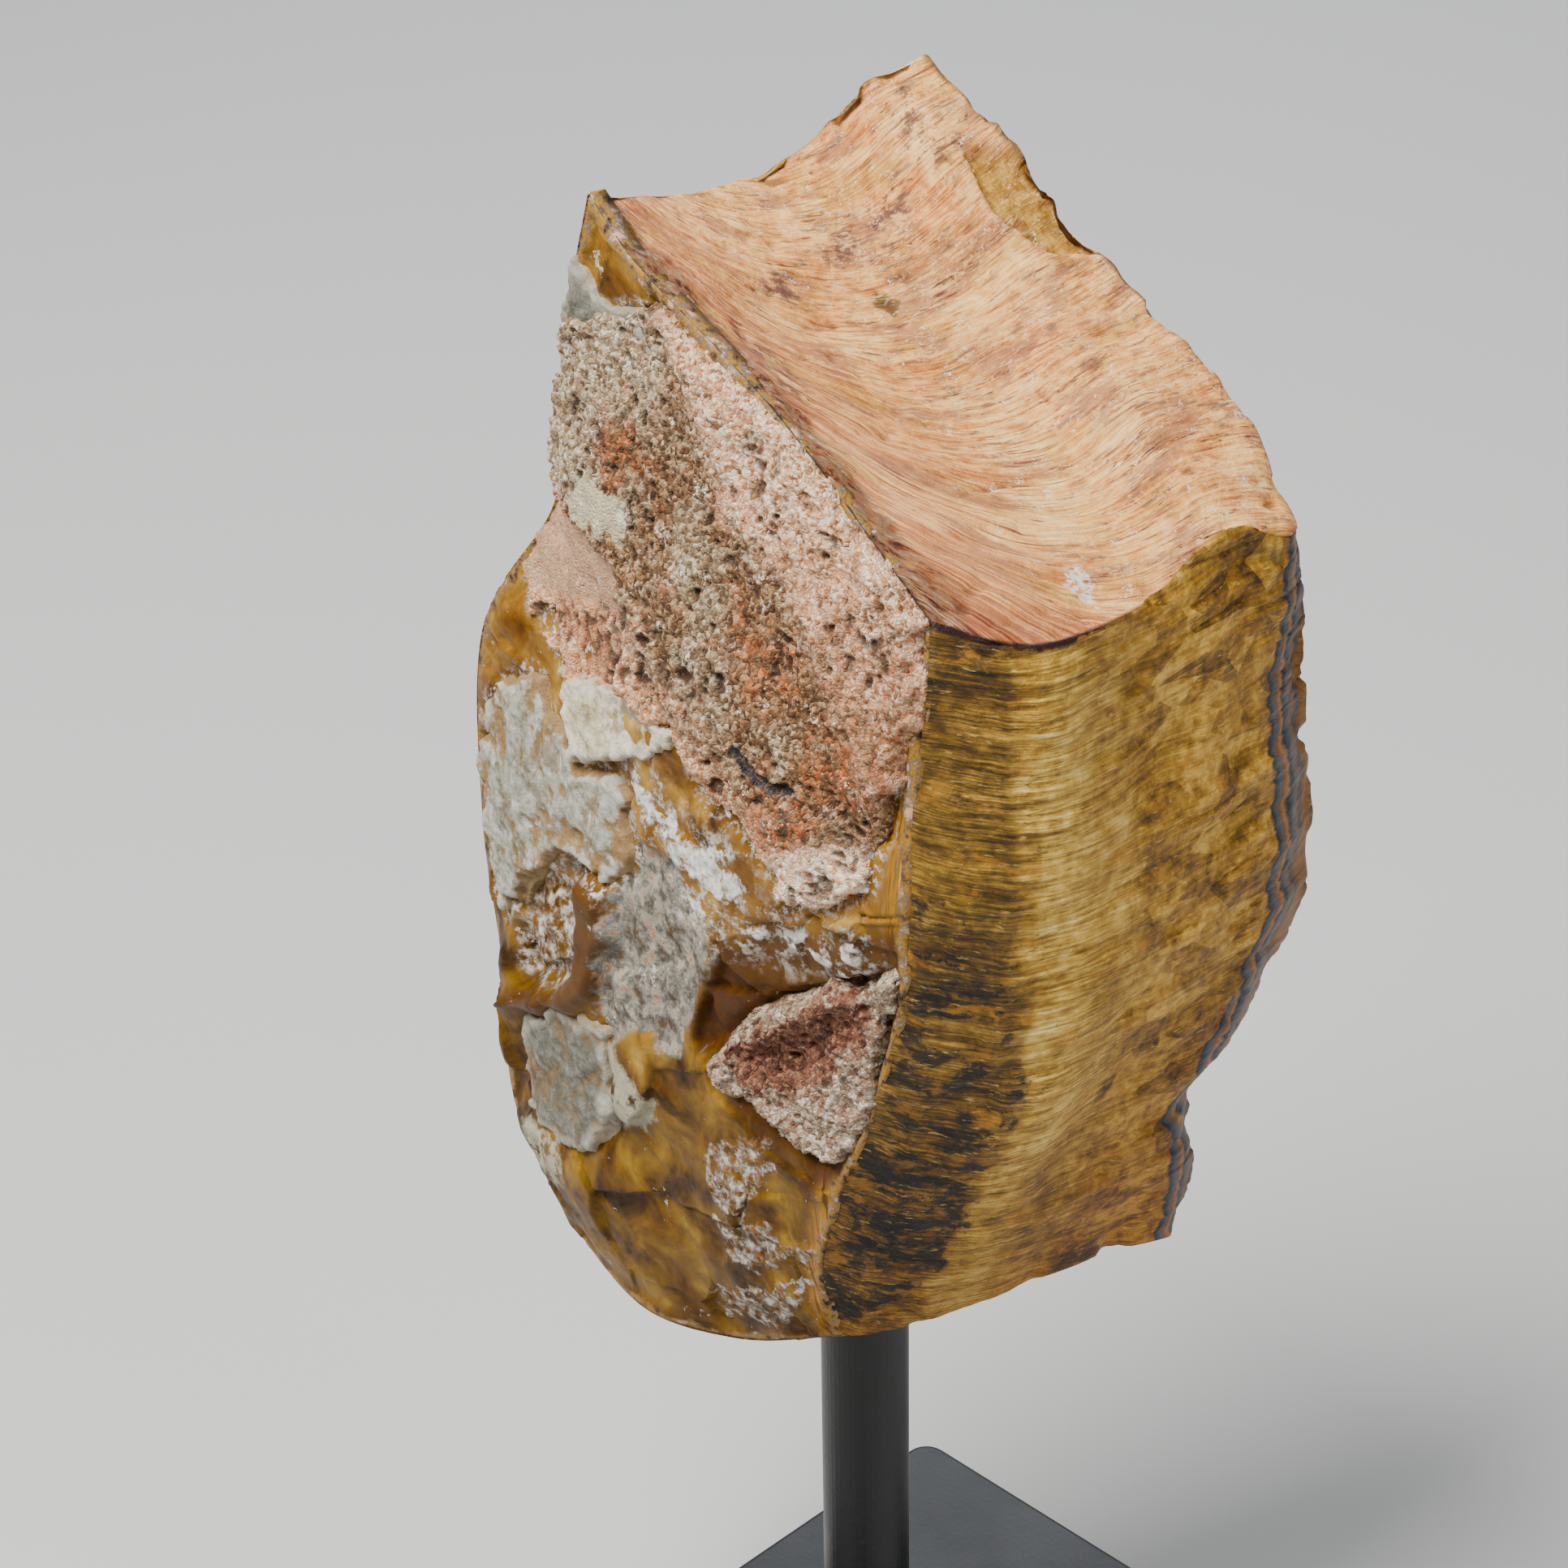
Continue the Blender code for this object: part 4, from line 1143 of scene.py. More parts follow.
@dataclass
class BigCrust(WallSheet):
    """The granular crust on the upper part of the wall."""

    name: str = "big_crust"
    outlines: tuple[Outline, ...] = (BIG_CRUST,)
    step: float = 0.19
    triangles: int | None = 196_000
    smooth_facet: Outline = ((22, 139), (19.5, 140.5), (7.5, 138.5), (5, 135.5), (14.5, 132), (21.5, 130.5))
    pits: tuple[Place, ...] = ((1.5, 134), (1.5, 131), (-3.5, 133))
    slit: Outline = ((-9.9, 128.8), (-11, 128.1), (-12.2, 127.6), (-13.7, 127.4), (-15.2, 127.6))
    raised_rim: Outline = (
        (6, 161), (-12, 153), (-26, 145), (-26, 133), (-23, 128), (-19.5, 134), (-17.5, 136.5), (-14, 140),
        (-10, 143.5), (-7.5, 145), (-4.5, 146.5), (-2, 150.5), (0.5, 153.5), (5, 157.5),
    )
    cream_dab: Outline = ((14, 141), (11.5, 144.5), (7.5, 144), (5.5, 143), (5, 141.5), (8, 140), (11, 140.5))
    areas: ClassVar[dict[str, tuple[Outline, ...]]] = {
        "step": (CRUST_STEP,),
        "smooth_facet": (smooth_facet,),
        "cream_dab": (cream_dab,),
        "raised_rim": (raised_rim,),
        "cream": (
            (
                (19, 157), (11, 158.5), (5.5, 158.5), (4, 154), (5.5, 150.5), (9, 150), (10.5, 147.5),
                (10, 144.5), (12, 142), (21, 139),
            ),
            (
                (0.5, 144.5), (-4, 142), (-6.5, 139), (-9, 136.5), (-9, 133.5), (-9, 129.5), (-5, 128.5),
                (-2.5, 131.5), (-3, 134.5), (-3.5, 138), (0, 141.5),
            ),
        ),
        "brick": (
            ((10.5, 150), (7, 151), (5, 147), (8, 145), (10.5, 147)),
            ((15.5, 132.5), (9, 135), (5.5, 131.5), (5.5, 128), (9, 127.5), (14.5, 129)),
            ((-7, 140), (-10.5, 140), (-14.5, 137.5), (-14.5, 134.5), (-10.5, 133.5), (-7, 136.5)),
            ((-15.5, 132), (-20, 133.5), (-22.5, 132.5), (-21.5, 129), (-17, 128.5)),
            ((-11.5, 125.5), (-18.5, 128), (-19.5, 126), (-16.5, 122.5), (-12, 123)),
            ((-12.5, 144.5), (-14.5, 145.5), (-17, 144.5), (-17, 142), (-14, 142)),
        ),
        "white_end": (((-13, 121.5), (-22.5, 126), (-24, 121.5), (-20.5, 118), (-15.5, 116)),),
    }

    def even(self, points: Array) -> Array:
        """The crust's swells and steps, without its grain.

        Args:
            points: Points of the bare wall.

        Returns:
            Heights in millimetres.
        """
        place = wall_places(points)
        step = smooth_step(-0.3, 0.3, depth_inside(place, CRUST_STEP) + 0.3 * lumps(points, 0.8, 103))
        rim = smooth_step(-0.7, 0.5, depth_inside(place, self.raised_rim) + 0.5 * lumps(points, 1.8, 115))
        return 1.1 + 0.45 * lumps(points, 5, 1) + 0.3 * lumps(points, 2.2, 2) - 1.0 * step + 0.55 * rim

    def hole_depth(self, points: Array) -> Array:
        """Distance inside the dark hole, negative outside it."""
        return DARK_HOLE_RADIUS - np.linalg.norm((points[:, 1:] - DARK_HOLE) * (0.85, 1.15), axis=1)

    def slit_distance(self, points: Array) -> Array:
        """Distance from the slit's line."""
        return distance_to_path(points[:, 1:] + 0.15 * lumps(points, 1, 113)[:, None], self.slit)

    def height(self, points: Array, inside: Array) -> Array:
        """How far the crust's face stands out from the bare wall.

        Args:
            points: Points of the bare wall.
            inside: Distance inside the crust's outline.

        Returns:
            Heights in millimetres.
        """
        ragged = inside + 0.6 * lumps(points, 1.8, 101) + 0.25 * lumps(points, 0.9, 102)
        height = (
            self.even(points)
            + 0.3 * lumps(points, 7, 114)
            - 1.5 * smooth_step(-0.25, 0.3, self.hole_depth(points))
            - 0.6 * smooth_step(0.5, 0.2, self.slit_distance(points))
        )
        for pit in self.pits:
            height -= 0.55 * smooth_step(0.75, 0.2, np.linalg.norm(points[:, 1:] - pit, axis=1))
        return -0.9 + (height + 0.9) * np.sin(0.5 * math.pi * smooth_step(-0.8, 0.9, ragged))

    def roughness(self, face: Array, inside: Array) -> Array:
        """How far the crumbs stand out from the crust's face.

        Args:
            face: Points of the face.
            inside: Distance inside the crust's outline.

        Returns:
            Heights in millimetres.
        """
        place = face[:, 1:]
        smoothness = smooth_step(-0.5, 0.8, inside_any(place, (self.smooth_facet, self.cream_dab)))
        patchy = 0.75 + 0.5 * lumps(face, 3.0, 116)
        sparse = 0.45 * smooth_step(-1.5, 0.5, depth_inside(place, self.raised_rim))
        pores = smooth_step(0.35, 0.75, lumps(face, 0.7, 109) + 0.35 * lumps(face, 2.6, 110) - sparse)
        knobbly = 0.2 * lumps(face, 1.1, 112) + 0.09 * crumbs(face, 0.8, 107)
        grain = 0.09 * crumbs(face, 0.46, 105) + 0.07 * lumps(face, 0.4, 111) - 0.36 * pores
        coarse = knobbly * (1 - 0.5 * smoothness)
        fine = patchy * grain * (1 - 0.85 * smoothness)
        return (coarse + fine) * smooth_step(-0.8, -0.2, inside)

    def marks(self, points: Array, inside: Array, raised: Array) -> dict[str, Array]:
        """The numbers from which the finish paints the crust.

        Args:
            points: Points of the bare wall.
            inside: Distance inside the crust's outline.
            raised: Heights of its face.

        Returns:
            Numbers at each point, by name.
        """
        return {
            **super().marks(points, inside, raised),
            "sunk": self.even(points) - raised,
            "hole": self.hole_depth(points),
            "slit": self.slit_distance(points),
            "toward_rim": points[:, 1:] @ np.array([-0.55, 0.83]),
        }


@dataclass
class SmallCrust(WallSheet):
    """The small crust low on the wall, with a raised pale rim and a hollow red middle."""

    name: str = "small_crust"
    outlines: tuple[Outline, ...] = (SMALL_CRUST,)
    step: float = 0.15
    areas: ClassVar[dict[str, tuple[Outline, ...]]] = {
        "red": (
            (
                (-10, 101.5), (-13, 104), (-18, 108), (-21, 110.5), (-21.5, 109), (-19, 105.5),
                (-17, 102), (-14, 100.5), (-11, 99.8),
            ),
        )
    }

    def height(self, points: Array, inside: Array) -> Array:
        """How far the crust's face stands out from the bare wall.

        Args:
            points: Points of the bare wall.
            inside: Distance inside the crust's outline.

        Returns:
            Heights in millimetres.
        """
        ragged = inside + 0.8 * lumps(points, 2.2, 121) + 0.3 * lumps(points, 0.9, 122)
        hollow = smooth_step(-1, 2.5, inside_any(wall_places(points), self.areas["red"]))
        height = 1.9 - 1.3 * hollow + 0.5 * lumps(points, 3, 3) + 0.35 * lumps(points, 1.6, 124)
        cliff = 1.3 * smooth_step(0, 6.5, depth_inside(wall_places(points), CHIPPED_RECESS))
        return -0.9 + (height + 0.9) * np.sin(0.5 * math.pi * smooth_step(-0.8, 0.9, ragged)) - cliff

    def roughness(self, face: Array, inside: Array) -> Array:
        """How far the crumbs stand out from the crust's face."""
        pits = smooth_step(0.4, 0.8, lumps(face, 0.9, 126))
        grain = 0.12 * crumbs(face, 0.9, 123) + 0.09 * crumbs(face, 0.5, 125) - 0.3 * pits
        return grain * smooth_step(-0.8, 0, inside)


@dataclass
class Chalk(WallSheet):
    """A lumpy sheet of grey-white chalk."""

    name: str = "chalk_sheet"
    outlines: tuple[Outline, ...] = (CHALK_SHEET,)
    step: float = 0.21
    rise: float = 0.45
    seed: int = 141

    def height(self, points: Array, inside: Array) -> Array:
        """How far the chalk's face stands out from the bare wall.

        Args:
            points: Points of the bare wall.
            inside: Distance inside the chalk's outline.

        Returns:
            Heights in millimetres.
        """
        ragged = inside + 0.8 * lumps(points, 2.6, self.seed) + 0.5 * lumps(points, 1.0, self.seed + 1)
        layer = terraces(lumps(points, (6, 2.6, 3.6), self.seed + 5), 2, 0.8)
        height = (
            self.rise
            + 0.3 * lumps(points, 3.5, 4)
            + 0.25 * layer
            + 0.25 * lumps(points, 2.0, self.seed + 6)
            + 0.12 * smooth_step(1.6, 0.4, inside)
        )
        return -0.8 + (height + 0.8) * np.sin(0.5 * math.pi * smooth_step(-0.5, 0.6, ragged))

    def roughness(self, face: Array, inside: Array) -> Array:
        """How far the small lumps stand out from the chalk's face."""
        grain = 0.09 * crumbs(face, 1.0, self.seed + 3) + 0.1 * lumps(face, 0.7, self.seed + 7)
        return grain * smooth_step(-0.8, 0, inside)


def pigment(red: int, green: int, blue: int) -> Colour:
    """A colour given as on a colour card, from 0 to 255, deepened as raw stone is."""
    shares = [value / 255 for value in (red, green, blue)]
    lights = (share / 12.92 if share <= 0.04045 else ((share + 0.055) / 1.055) ** 2.4 for share in shares)
    return tuple(light**PIGMENT_DEPTH for light in lights)


class Tone:
    """A number, colour or vector on its way through a node tree. A sum on it adds a node."""

    def __init__(self, graph: Graph, socket: NodeSocket) -> None:
        """Holds one node's output."""
        self.graph = graph
        self.socket = socket

    def __add__(self, other: Value) -> Tone:
        """Adds a number."""
        return self.graph.maths("ADD", self, other)

    def __sub__(self, other: Value) -> Tone:
        """Takes a number away."""
        return self.graph.maths("SUBTRACT", self, other)

    def __rsub__(self, other: Value) -> Tone:
        """Takes this from a number."""
        return self.graph.maths("SUBTRACT", other, self)

    def __mul__(self, other: Value) -> Tone:
        """Multiplies by a number."""
        return self.graph.maths("MULTIPLY", self, other)

    def __truediv__(self, other: Value) -> Tone:
        """Divides by a number."""
        return self.graph.maths("DIVIDE", self, other)

    def __rtruediv__(self, other: Value) -> Tone:
        """Divides a number by this."""
        return self.graph.maths("DIVIDE", other, self)

    def rise(self, low: float, high: float, top: Value = 1.0) -> Tone:
        """Rises smoothly from 0 at low to top at high, or falls if high is below low.

        Args:
            low: The value that gives 0.
            high: The value that gives the top.
            top: How far it rises.

        Returns:
            The risen number.
        """
        if high < low:
            return self.graph.smooth(self, high, low, top, 0.0)
        return self.graph.smooth(self, low, high, 0.0, top)


Value = float | tuple[float, ...] | Tone
Values = dict[str | int, Value]
Stops = tuple[tuple[float, int, int, int], ...]


class Graph:
    """Adds and joins the nodes of one node tree."""

    def __init__(self, tree: NodeTree) -> None:
        """Starts work on a tree."""
        self.tree = tree

    def put(self, value: Value, socket: NodeSocket) -> None:
        """Fills a socket.

        Args:
            value: A tone to link, or a number, colour or vector to set.
            socket: The input it goes into.
        """
        if isinstance(value, Tone):
            self.tree.links.new(value.socket, socket)
        elif isinstance(value, tuple) and socket.type == "RGBA":
            socket.default_value = (*value[:3], 1.0)
        else:
            socket.default_value = value

    def node(self, kind: str, values: Values, **settings: object) -> Node:
        """Adds a node.

        Args:
            kind: The node's type name without "ShaderNode".
            values: What goes into its inputs.
            settings: Its other settings.

        Returns:
            The node.
        """
        made = self.tree.nodes.new("ShaderNode" + kind)
        for key, value in settings.items():
            setattr(made, key, value)
        for key, value in values.items():
            self.put(value, made.inputs[key])
        return made

    def tone(self, kind: str, values: Values, output: int | str = 0, **settings: object) -> Tone:
        """Adds a node and takes one of its outputs."""
        return Tone(self, self.node(kind, values, **settings).outputs[output])

    def outputs(self, node: Node) -> dict[str, Tone]:
        """A node's outputs by name."""
        return {socket.name: Tone(self, socket) for socket in node.outputs}

    def maths(self, operation: str, first: Value, second: Value = 0.0) -> Tone:
        """Does one sum on numbers."""
        return self.tone("Math", {0: first, 1: second}, operation=operation)

    def most(self, *values: Value) -> Tone:
        """The greatest of several numbers."""
        return reduce(lambda first, second: self.maths("MAXIMUM", first, second), values)

    def smooth(self, value: Value, low: Value, high: Value, start: Value, end: Value) -> Tone:
        """Goes smoothly from start at low to end at high."""
        values: Values = {0: value, 1: low, 2: high, 3: start, 4: end}
        return self.tone("MapRange", values, interpolation_type="SMOOTHSTEP")

    def blend(self, share: Value, first: Value, second: Value) -> Tone:
        """Mixes two numbers."""
        return self.tone("Mix", {0: share, 2: first, 3: second})

    def mix(self, share: Value, first: Value, second: Value) -> Tone:
        """Mixes two colours."""
        return self.tone("Mix", {0: share, 6: first, 7: second}, 2, data_type="RGBA")

    def ramp(self, share: Value, stops: Stops) -> Tone:
        """Picks a colour from a row of stops.

        Args:
            share: Where to read the row, from 0 to 1.
            stops: Each stop's share and its colour as on a colour card.

        Returns:
            The colour.
        """
        made = self.node("ValToRGB", {0: share})
        elements = made.color_ramp.elements
        while len(elements) < len(stops):
            elements.new(1.0)
        for element, (place, *card) in zip(elements, stops):
            element.position = place
            element.color = (*pigment(*card), 1.0)
        return Tone(self, made.outputs[0])

    def mark(self, name: str) -> Tone:
        """Reads a number kept at the mesh's points."""
        return self.tone("Attribute", {}, "Fac", attribute_name=name)

    def place(self, name: str) -> Tone:
        """Reads a vector kept at the mesh's points."""
        return self.tone("Attribute", {}, "Vector", attribute_name=name)

    def parts(self, vector: Value) -> list[Tone]:
        """Splits a vector into its three numbers."""
        return list(self.outputs(self.node("SeparateXYZ", {0: vector})).values())

    def moved(self, vector: Value, by: Point) -> Tone:
        """Moves a vector, for a pattern of its own."""
        return self.tone("VectorMath", {0: vector, 1: by}, operation="ADD")

    def stretched(self, vector: Value, factors: Point) -> Tone:
        """Scales a vector by a factor for each axis."""
        return self.tone("VectorMath", {0: vector, 1: factors}, operation="MULTIPLY")

    def noise(
        self, vector: Value, scale: Value, detail: float = 3.0, rough: float = 0.55, bend: float = 0.0
    ) -> Tone:
        """Soft random tone from 0 to 1.

        Args:
            vector: Where to read it.
            scale: Its lumps to a millimetre, or a number for each axis.
            detail: How many finer layers it has.
            rough: How strong they are.
            bend: How far it is bent out of shape.

        Returns:
            The tone.
        """
        if isinstance(scale, tuple):
            vector, scale = self.stretched(vector, scale), 1.0
        values = {"Vector": vector, "Scale": scale, "Detail": detail, "Roughness": rough, "Distortion": bend}
        return self.tone("TexNoise", values, "Fac")

    def effect(self, group: NodeTree, **values: Value) -> dict[str, Tone]:
        """Places an effect's group with its own values."""
        return self.outputs(self.node("Group", values, node_tree=group))


class Group(Graph):
    """The node tree of an effect that several finishes share."""

    def __init__(self, name: str, **takes: float) -> None:
        """Starts a group that takes a vector and some numbers.

        Args:
            name: The group's name.
            takes: Each number's name and first value.
        """
        super().__init__(bpy.data.node_groups.new(name, "ShaderNodeTree"))
        self.tree.interface.new_socket("Vector", in_out="INPUT", socket_type="NodeSocketVector")
        for label, value in takes.items():
            socket = self.tree.interface.new_socket(label, in_out="INPUT", socket_type="NodeSocketFloat")
            socket.default_value = value
        self.source = self.outputs(self.tree.nodes.new("NodeGroupInput"))

    def give(self, **results: Tone) -> NodeTree:
        """Ends the group.

        Args:
            results: The numbers that the group gives, by name.

        Returns:
            The group.
        """
        end = self.tree.nodes.new("NodeGroupOutput")
        for label, tone in results.items():
            self.tree.interface.new_socket(label, in_out="OUTPUT", socket_type="NodeSocketFloat")
            self.put(tone, end.inputs[label])
        return self.tree


class Effects:
    """The effects that several finishes share, each a node group built once."""

    def __init__(self) -> None:
        """Builds every group."""
        self.streaks = self.build_streaks()
        self.grain = self.build_grain()
        self.ragged = self.build_ragged()
        self.flecks = self.build_flecks()

    def build_streaks(self) -> NodeTree:
        """Builds threads drawn out along the vector's first direction.

        Returns:
            The group, with its tones, short dashes, thin cracks and height.
        """
        graph = Group("fibre_streaks", Length=8.0, Width=0.8)
        along, across, deep = graph.parts(graph.source["Vector"])
        along = along / graph.source["Length"]
        across = across / graph.source["Width"]
        deep = deep * 0.05

        def drawn(longer: float, wider: float, detail: float, rough: float, bend: float) -> Tone:
            """Noise drawn out along the fibres."""
            vector = graph.tone("CombineXYZ", {0: along * longer, 1: across * wider, 2: deep})
            return graph.noise(vector, 1.0, detail, rough, bend)

        tone = drawn(1.0, 1.0, 5.0, 0.62, 0.15)
        thread = drawn(2.0, 3.2, 3.0, 0.65, 0.0)
        short = drawn(2.8, 1.5, 2.0, 0.5, 0.3)
        line = drawn(1.6, 0.75, 3.0, 0.55, 0.2)
        gate = drawn(1.1, 0.3, 2.0, 0.5, 0.0)
        thin = graph.maths("ABSOLUTE", line - 0.5).rise(0.016, 0.004)
        return graph.give(
            Tone=tone,
            Thread=thread,
            Dash=short.rise(0.56, 0.68),
            Crack=thin * gate.rise(0.48, 0.6),
            Height=thread * 0.5 + tone * 0.5,
        )

    def build_grain(self) -> NodeTree:
        """Builds grains of mineral with gaps between them, which the finishes darken as painted shade.

        Returns:
            The group, with each grain's tone, the gaps and the height.
        """
        graph = Group("mineral_grain", Size=0.6)
        vector = graph.source["Vector"]
        scale = 1.0 / graph.source["Size"]
        cells: Values = {"Vector": vector, "Scale": scale}
        tone = graph.tone("SeparateColor", {0: graph.tone("TexVoronoi", cells, "Color")})
        edges = graph.tone("TexVoronoi", cells, "Distance", feature="DISTANCE_TO_EDGE")
        crumb = graph.noise(vector, scale * 2.5, 3.0, 0.5)
        height = crumb * 0.5 + edges.rise(0.0, 0.3, 0.6)
        return graph.give(Tone=tone, Gap=edges.rise(0.12, 0.0), Height=height)

    def build_ragged(self) -> NodeTree:
        """Builds a mask with a ragged border, from a distance inside it.

        Returns:
            The group, with the mask.
        """
        graph = Group("ragged_mask", Distance=0.0, Size=1.0, Wander=0.5, Softness=0.2)
        source = graph.source
        noise = graph.noise(source["Vector"], 1.0 / source["Size"], 4.0, 0.6)
        shifted = (noise - 0.5) * (source["Wander"] * 4.0) + source["Distance"]
        soft = source["Softness"]
        return graph.give(Mask=graph.smooth(shifted, soft * -1.0, soft, 0.0, 1.0))

    def build_flecks(self) -> NodeTree:
        """Builds small scattered flecks, such as dust or specks of another mineral.

        Returns:
            The group, with the flecks' mask.
        """
        graph = Group("scattered_flecks", Size=0.5, Cover=0.3)
        vector = graph.source["Vector"]
        scale = 1.0 / graph.source["Size"]
        wide = graph.noise(vector, scale * 0.18, 2.0, 0.5)
        small = graph.noise(vector, scale, 3.0, 0.7)
        bar = graph.source["Cover"] * -0.22 + 0.66
        return graph.give(Mask=graph.smooth(wide * 0.5 + small * 0.5, bar, bar + 0.035, 0.0, 1.0))


class Coats:
    """Colours laid one over another."""

    def __init__(self, graph: Graph, ground: Value) -> None:
        """Starts from the colour underneath."""
        self.graph = graph
        self.top = ground

    def lay(self, share: Value, colour: Value) -> None:
        """Lays a colour over the others."""
        self.top = self.graph.mix(share, self.top, colour)


class Surface(Graph):
    """The node tree of one material, with the shared effects at hand."""

    def __init__(self, name: str, effects: Effects) -> None:
        """Starts a material.

        Args:
            name: Its name.
            effects: The shared effects.
        """
        self.material = bpy.data.materials.new(name)
        self.material.use_nodes = True
        self.effects = effects
        super().__init__(self.material.node_tree)
        self.shader = self.tree.nodes["Principled BSDF"]

    def streaks(self, vector: Value, length: float, width: float) -> dict[str, Tone]:
        """Threads drawn out along a vector's first direction."""
        return self.effect(self.effects.streaks, Vector=vector, Length=length, Width=width)

    def grains(self, vector: Value, size: float) -> dict[str, Tone]:
        """Grains of mineral with gaps between them, which the finishes darken as painted shade."""
        return self.effect(self.effects.grain, Vector=vector, Size=size)

    def flecks(self, vector: Value, size: float, cover: float) -> Tone:
        """Small scattered flecks."""
        return self.effect(self.effects.flecks, Vector=vector, Size=size, Cover=cover)["Mask"]

    def ragged(self, area: str | Tone, vector: Value, size: float, wander: float, soft: float) -> Tone:
        """Masks an area with a ragged border.

        Args:
            area: The area's mark, or the distance inside it.
            vector: Where to read the border's wander.
            size: The size of its steps.
            wander: How far they go.
            soft: How soft the border is.

        Returns:
            The mask.
        """
        distance = self.mark(area) if isinstance(area, str) else area
        values = {"Distance": distance, "Size": size, "Wander": wander, "Softness": soft}
        return self.effect(self.effects.ragged, Vector=vector, **values)["Mask"]

    def finish(self, colour: Value, rough: Value, height: Value, strength: float, depth: float) -> Material:
        """Gives the shader its colour, roughness and fine relief.

        Args:
            colour: The colour.
            rough: The roughness.
            height: The fine relief.
            strength: How strongly the relief shows.
            depth: How deep it is.

        Returns:
            The material.
        """
        bump = self.tone("Bump", {"Strength": strength, "Distance": depth, "Height": height})
        for value, label in ((colour, "Base Color"), (rough, "Roughness"), (bump, "Normal")):
            self.put(value, self.shader.inputs[label])
        return self.material


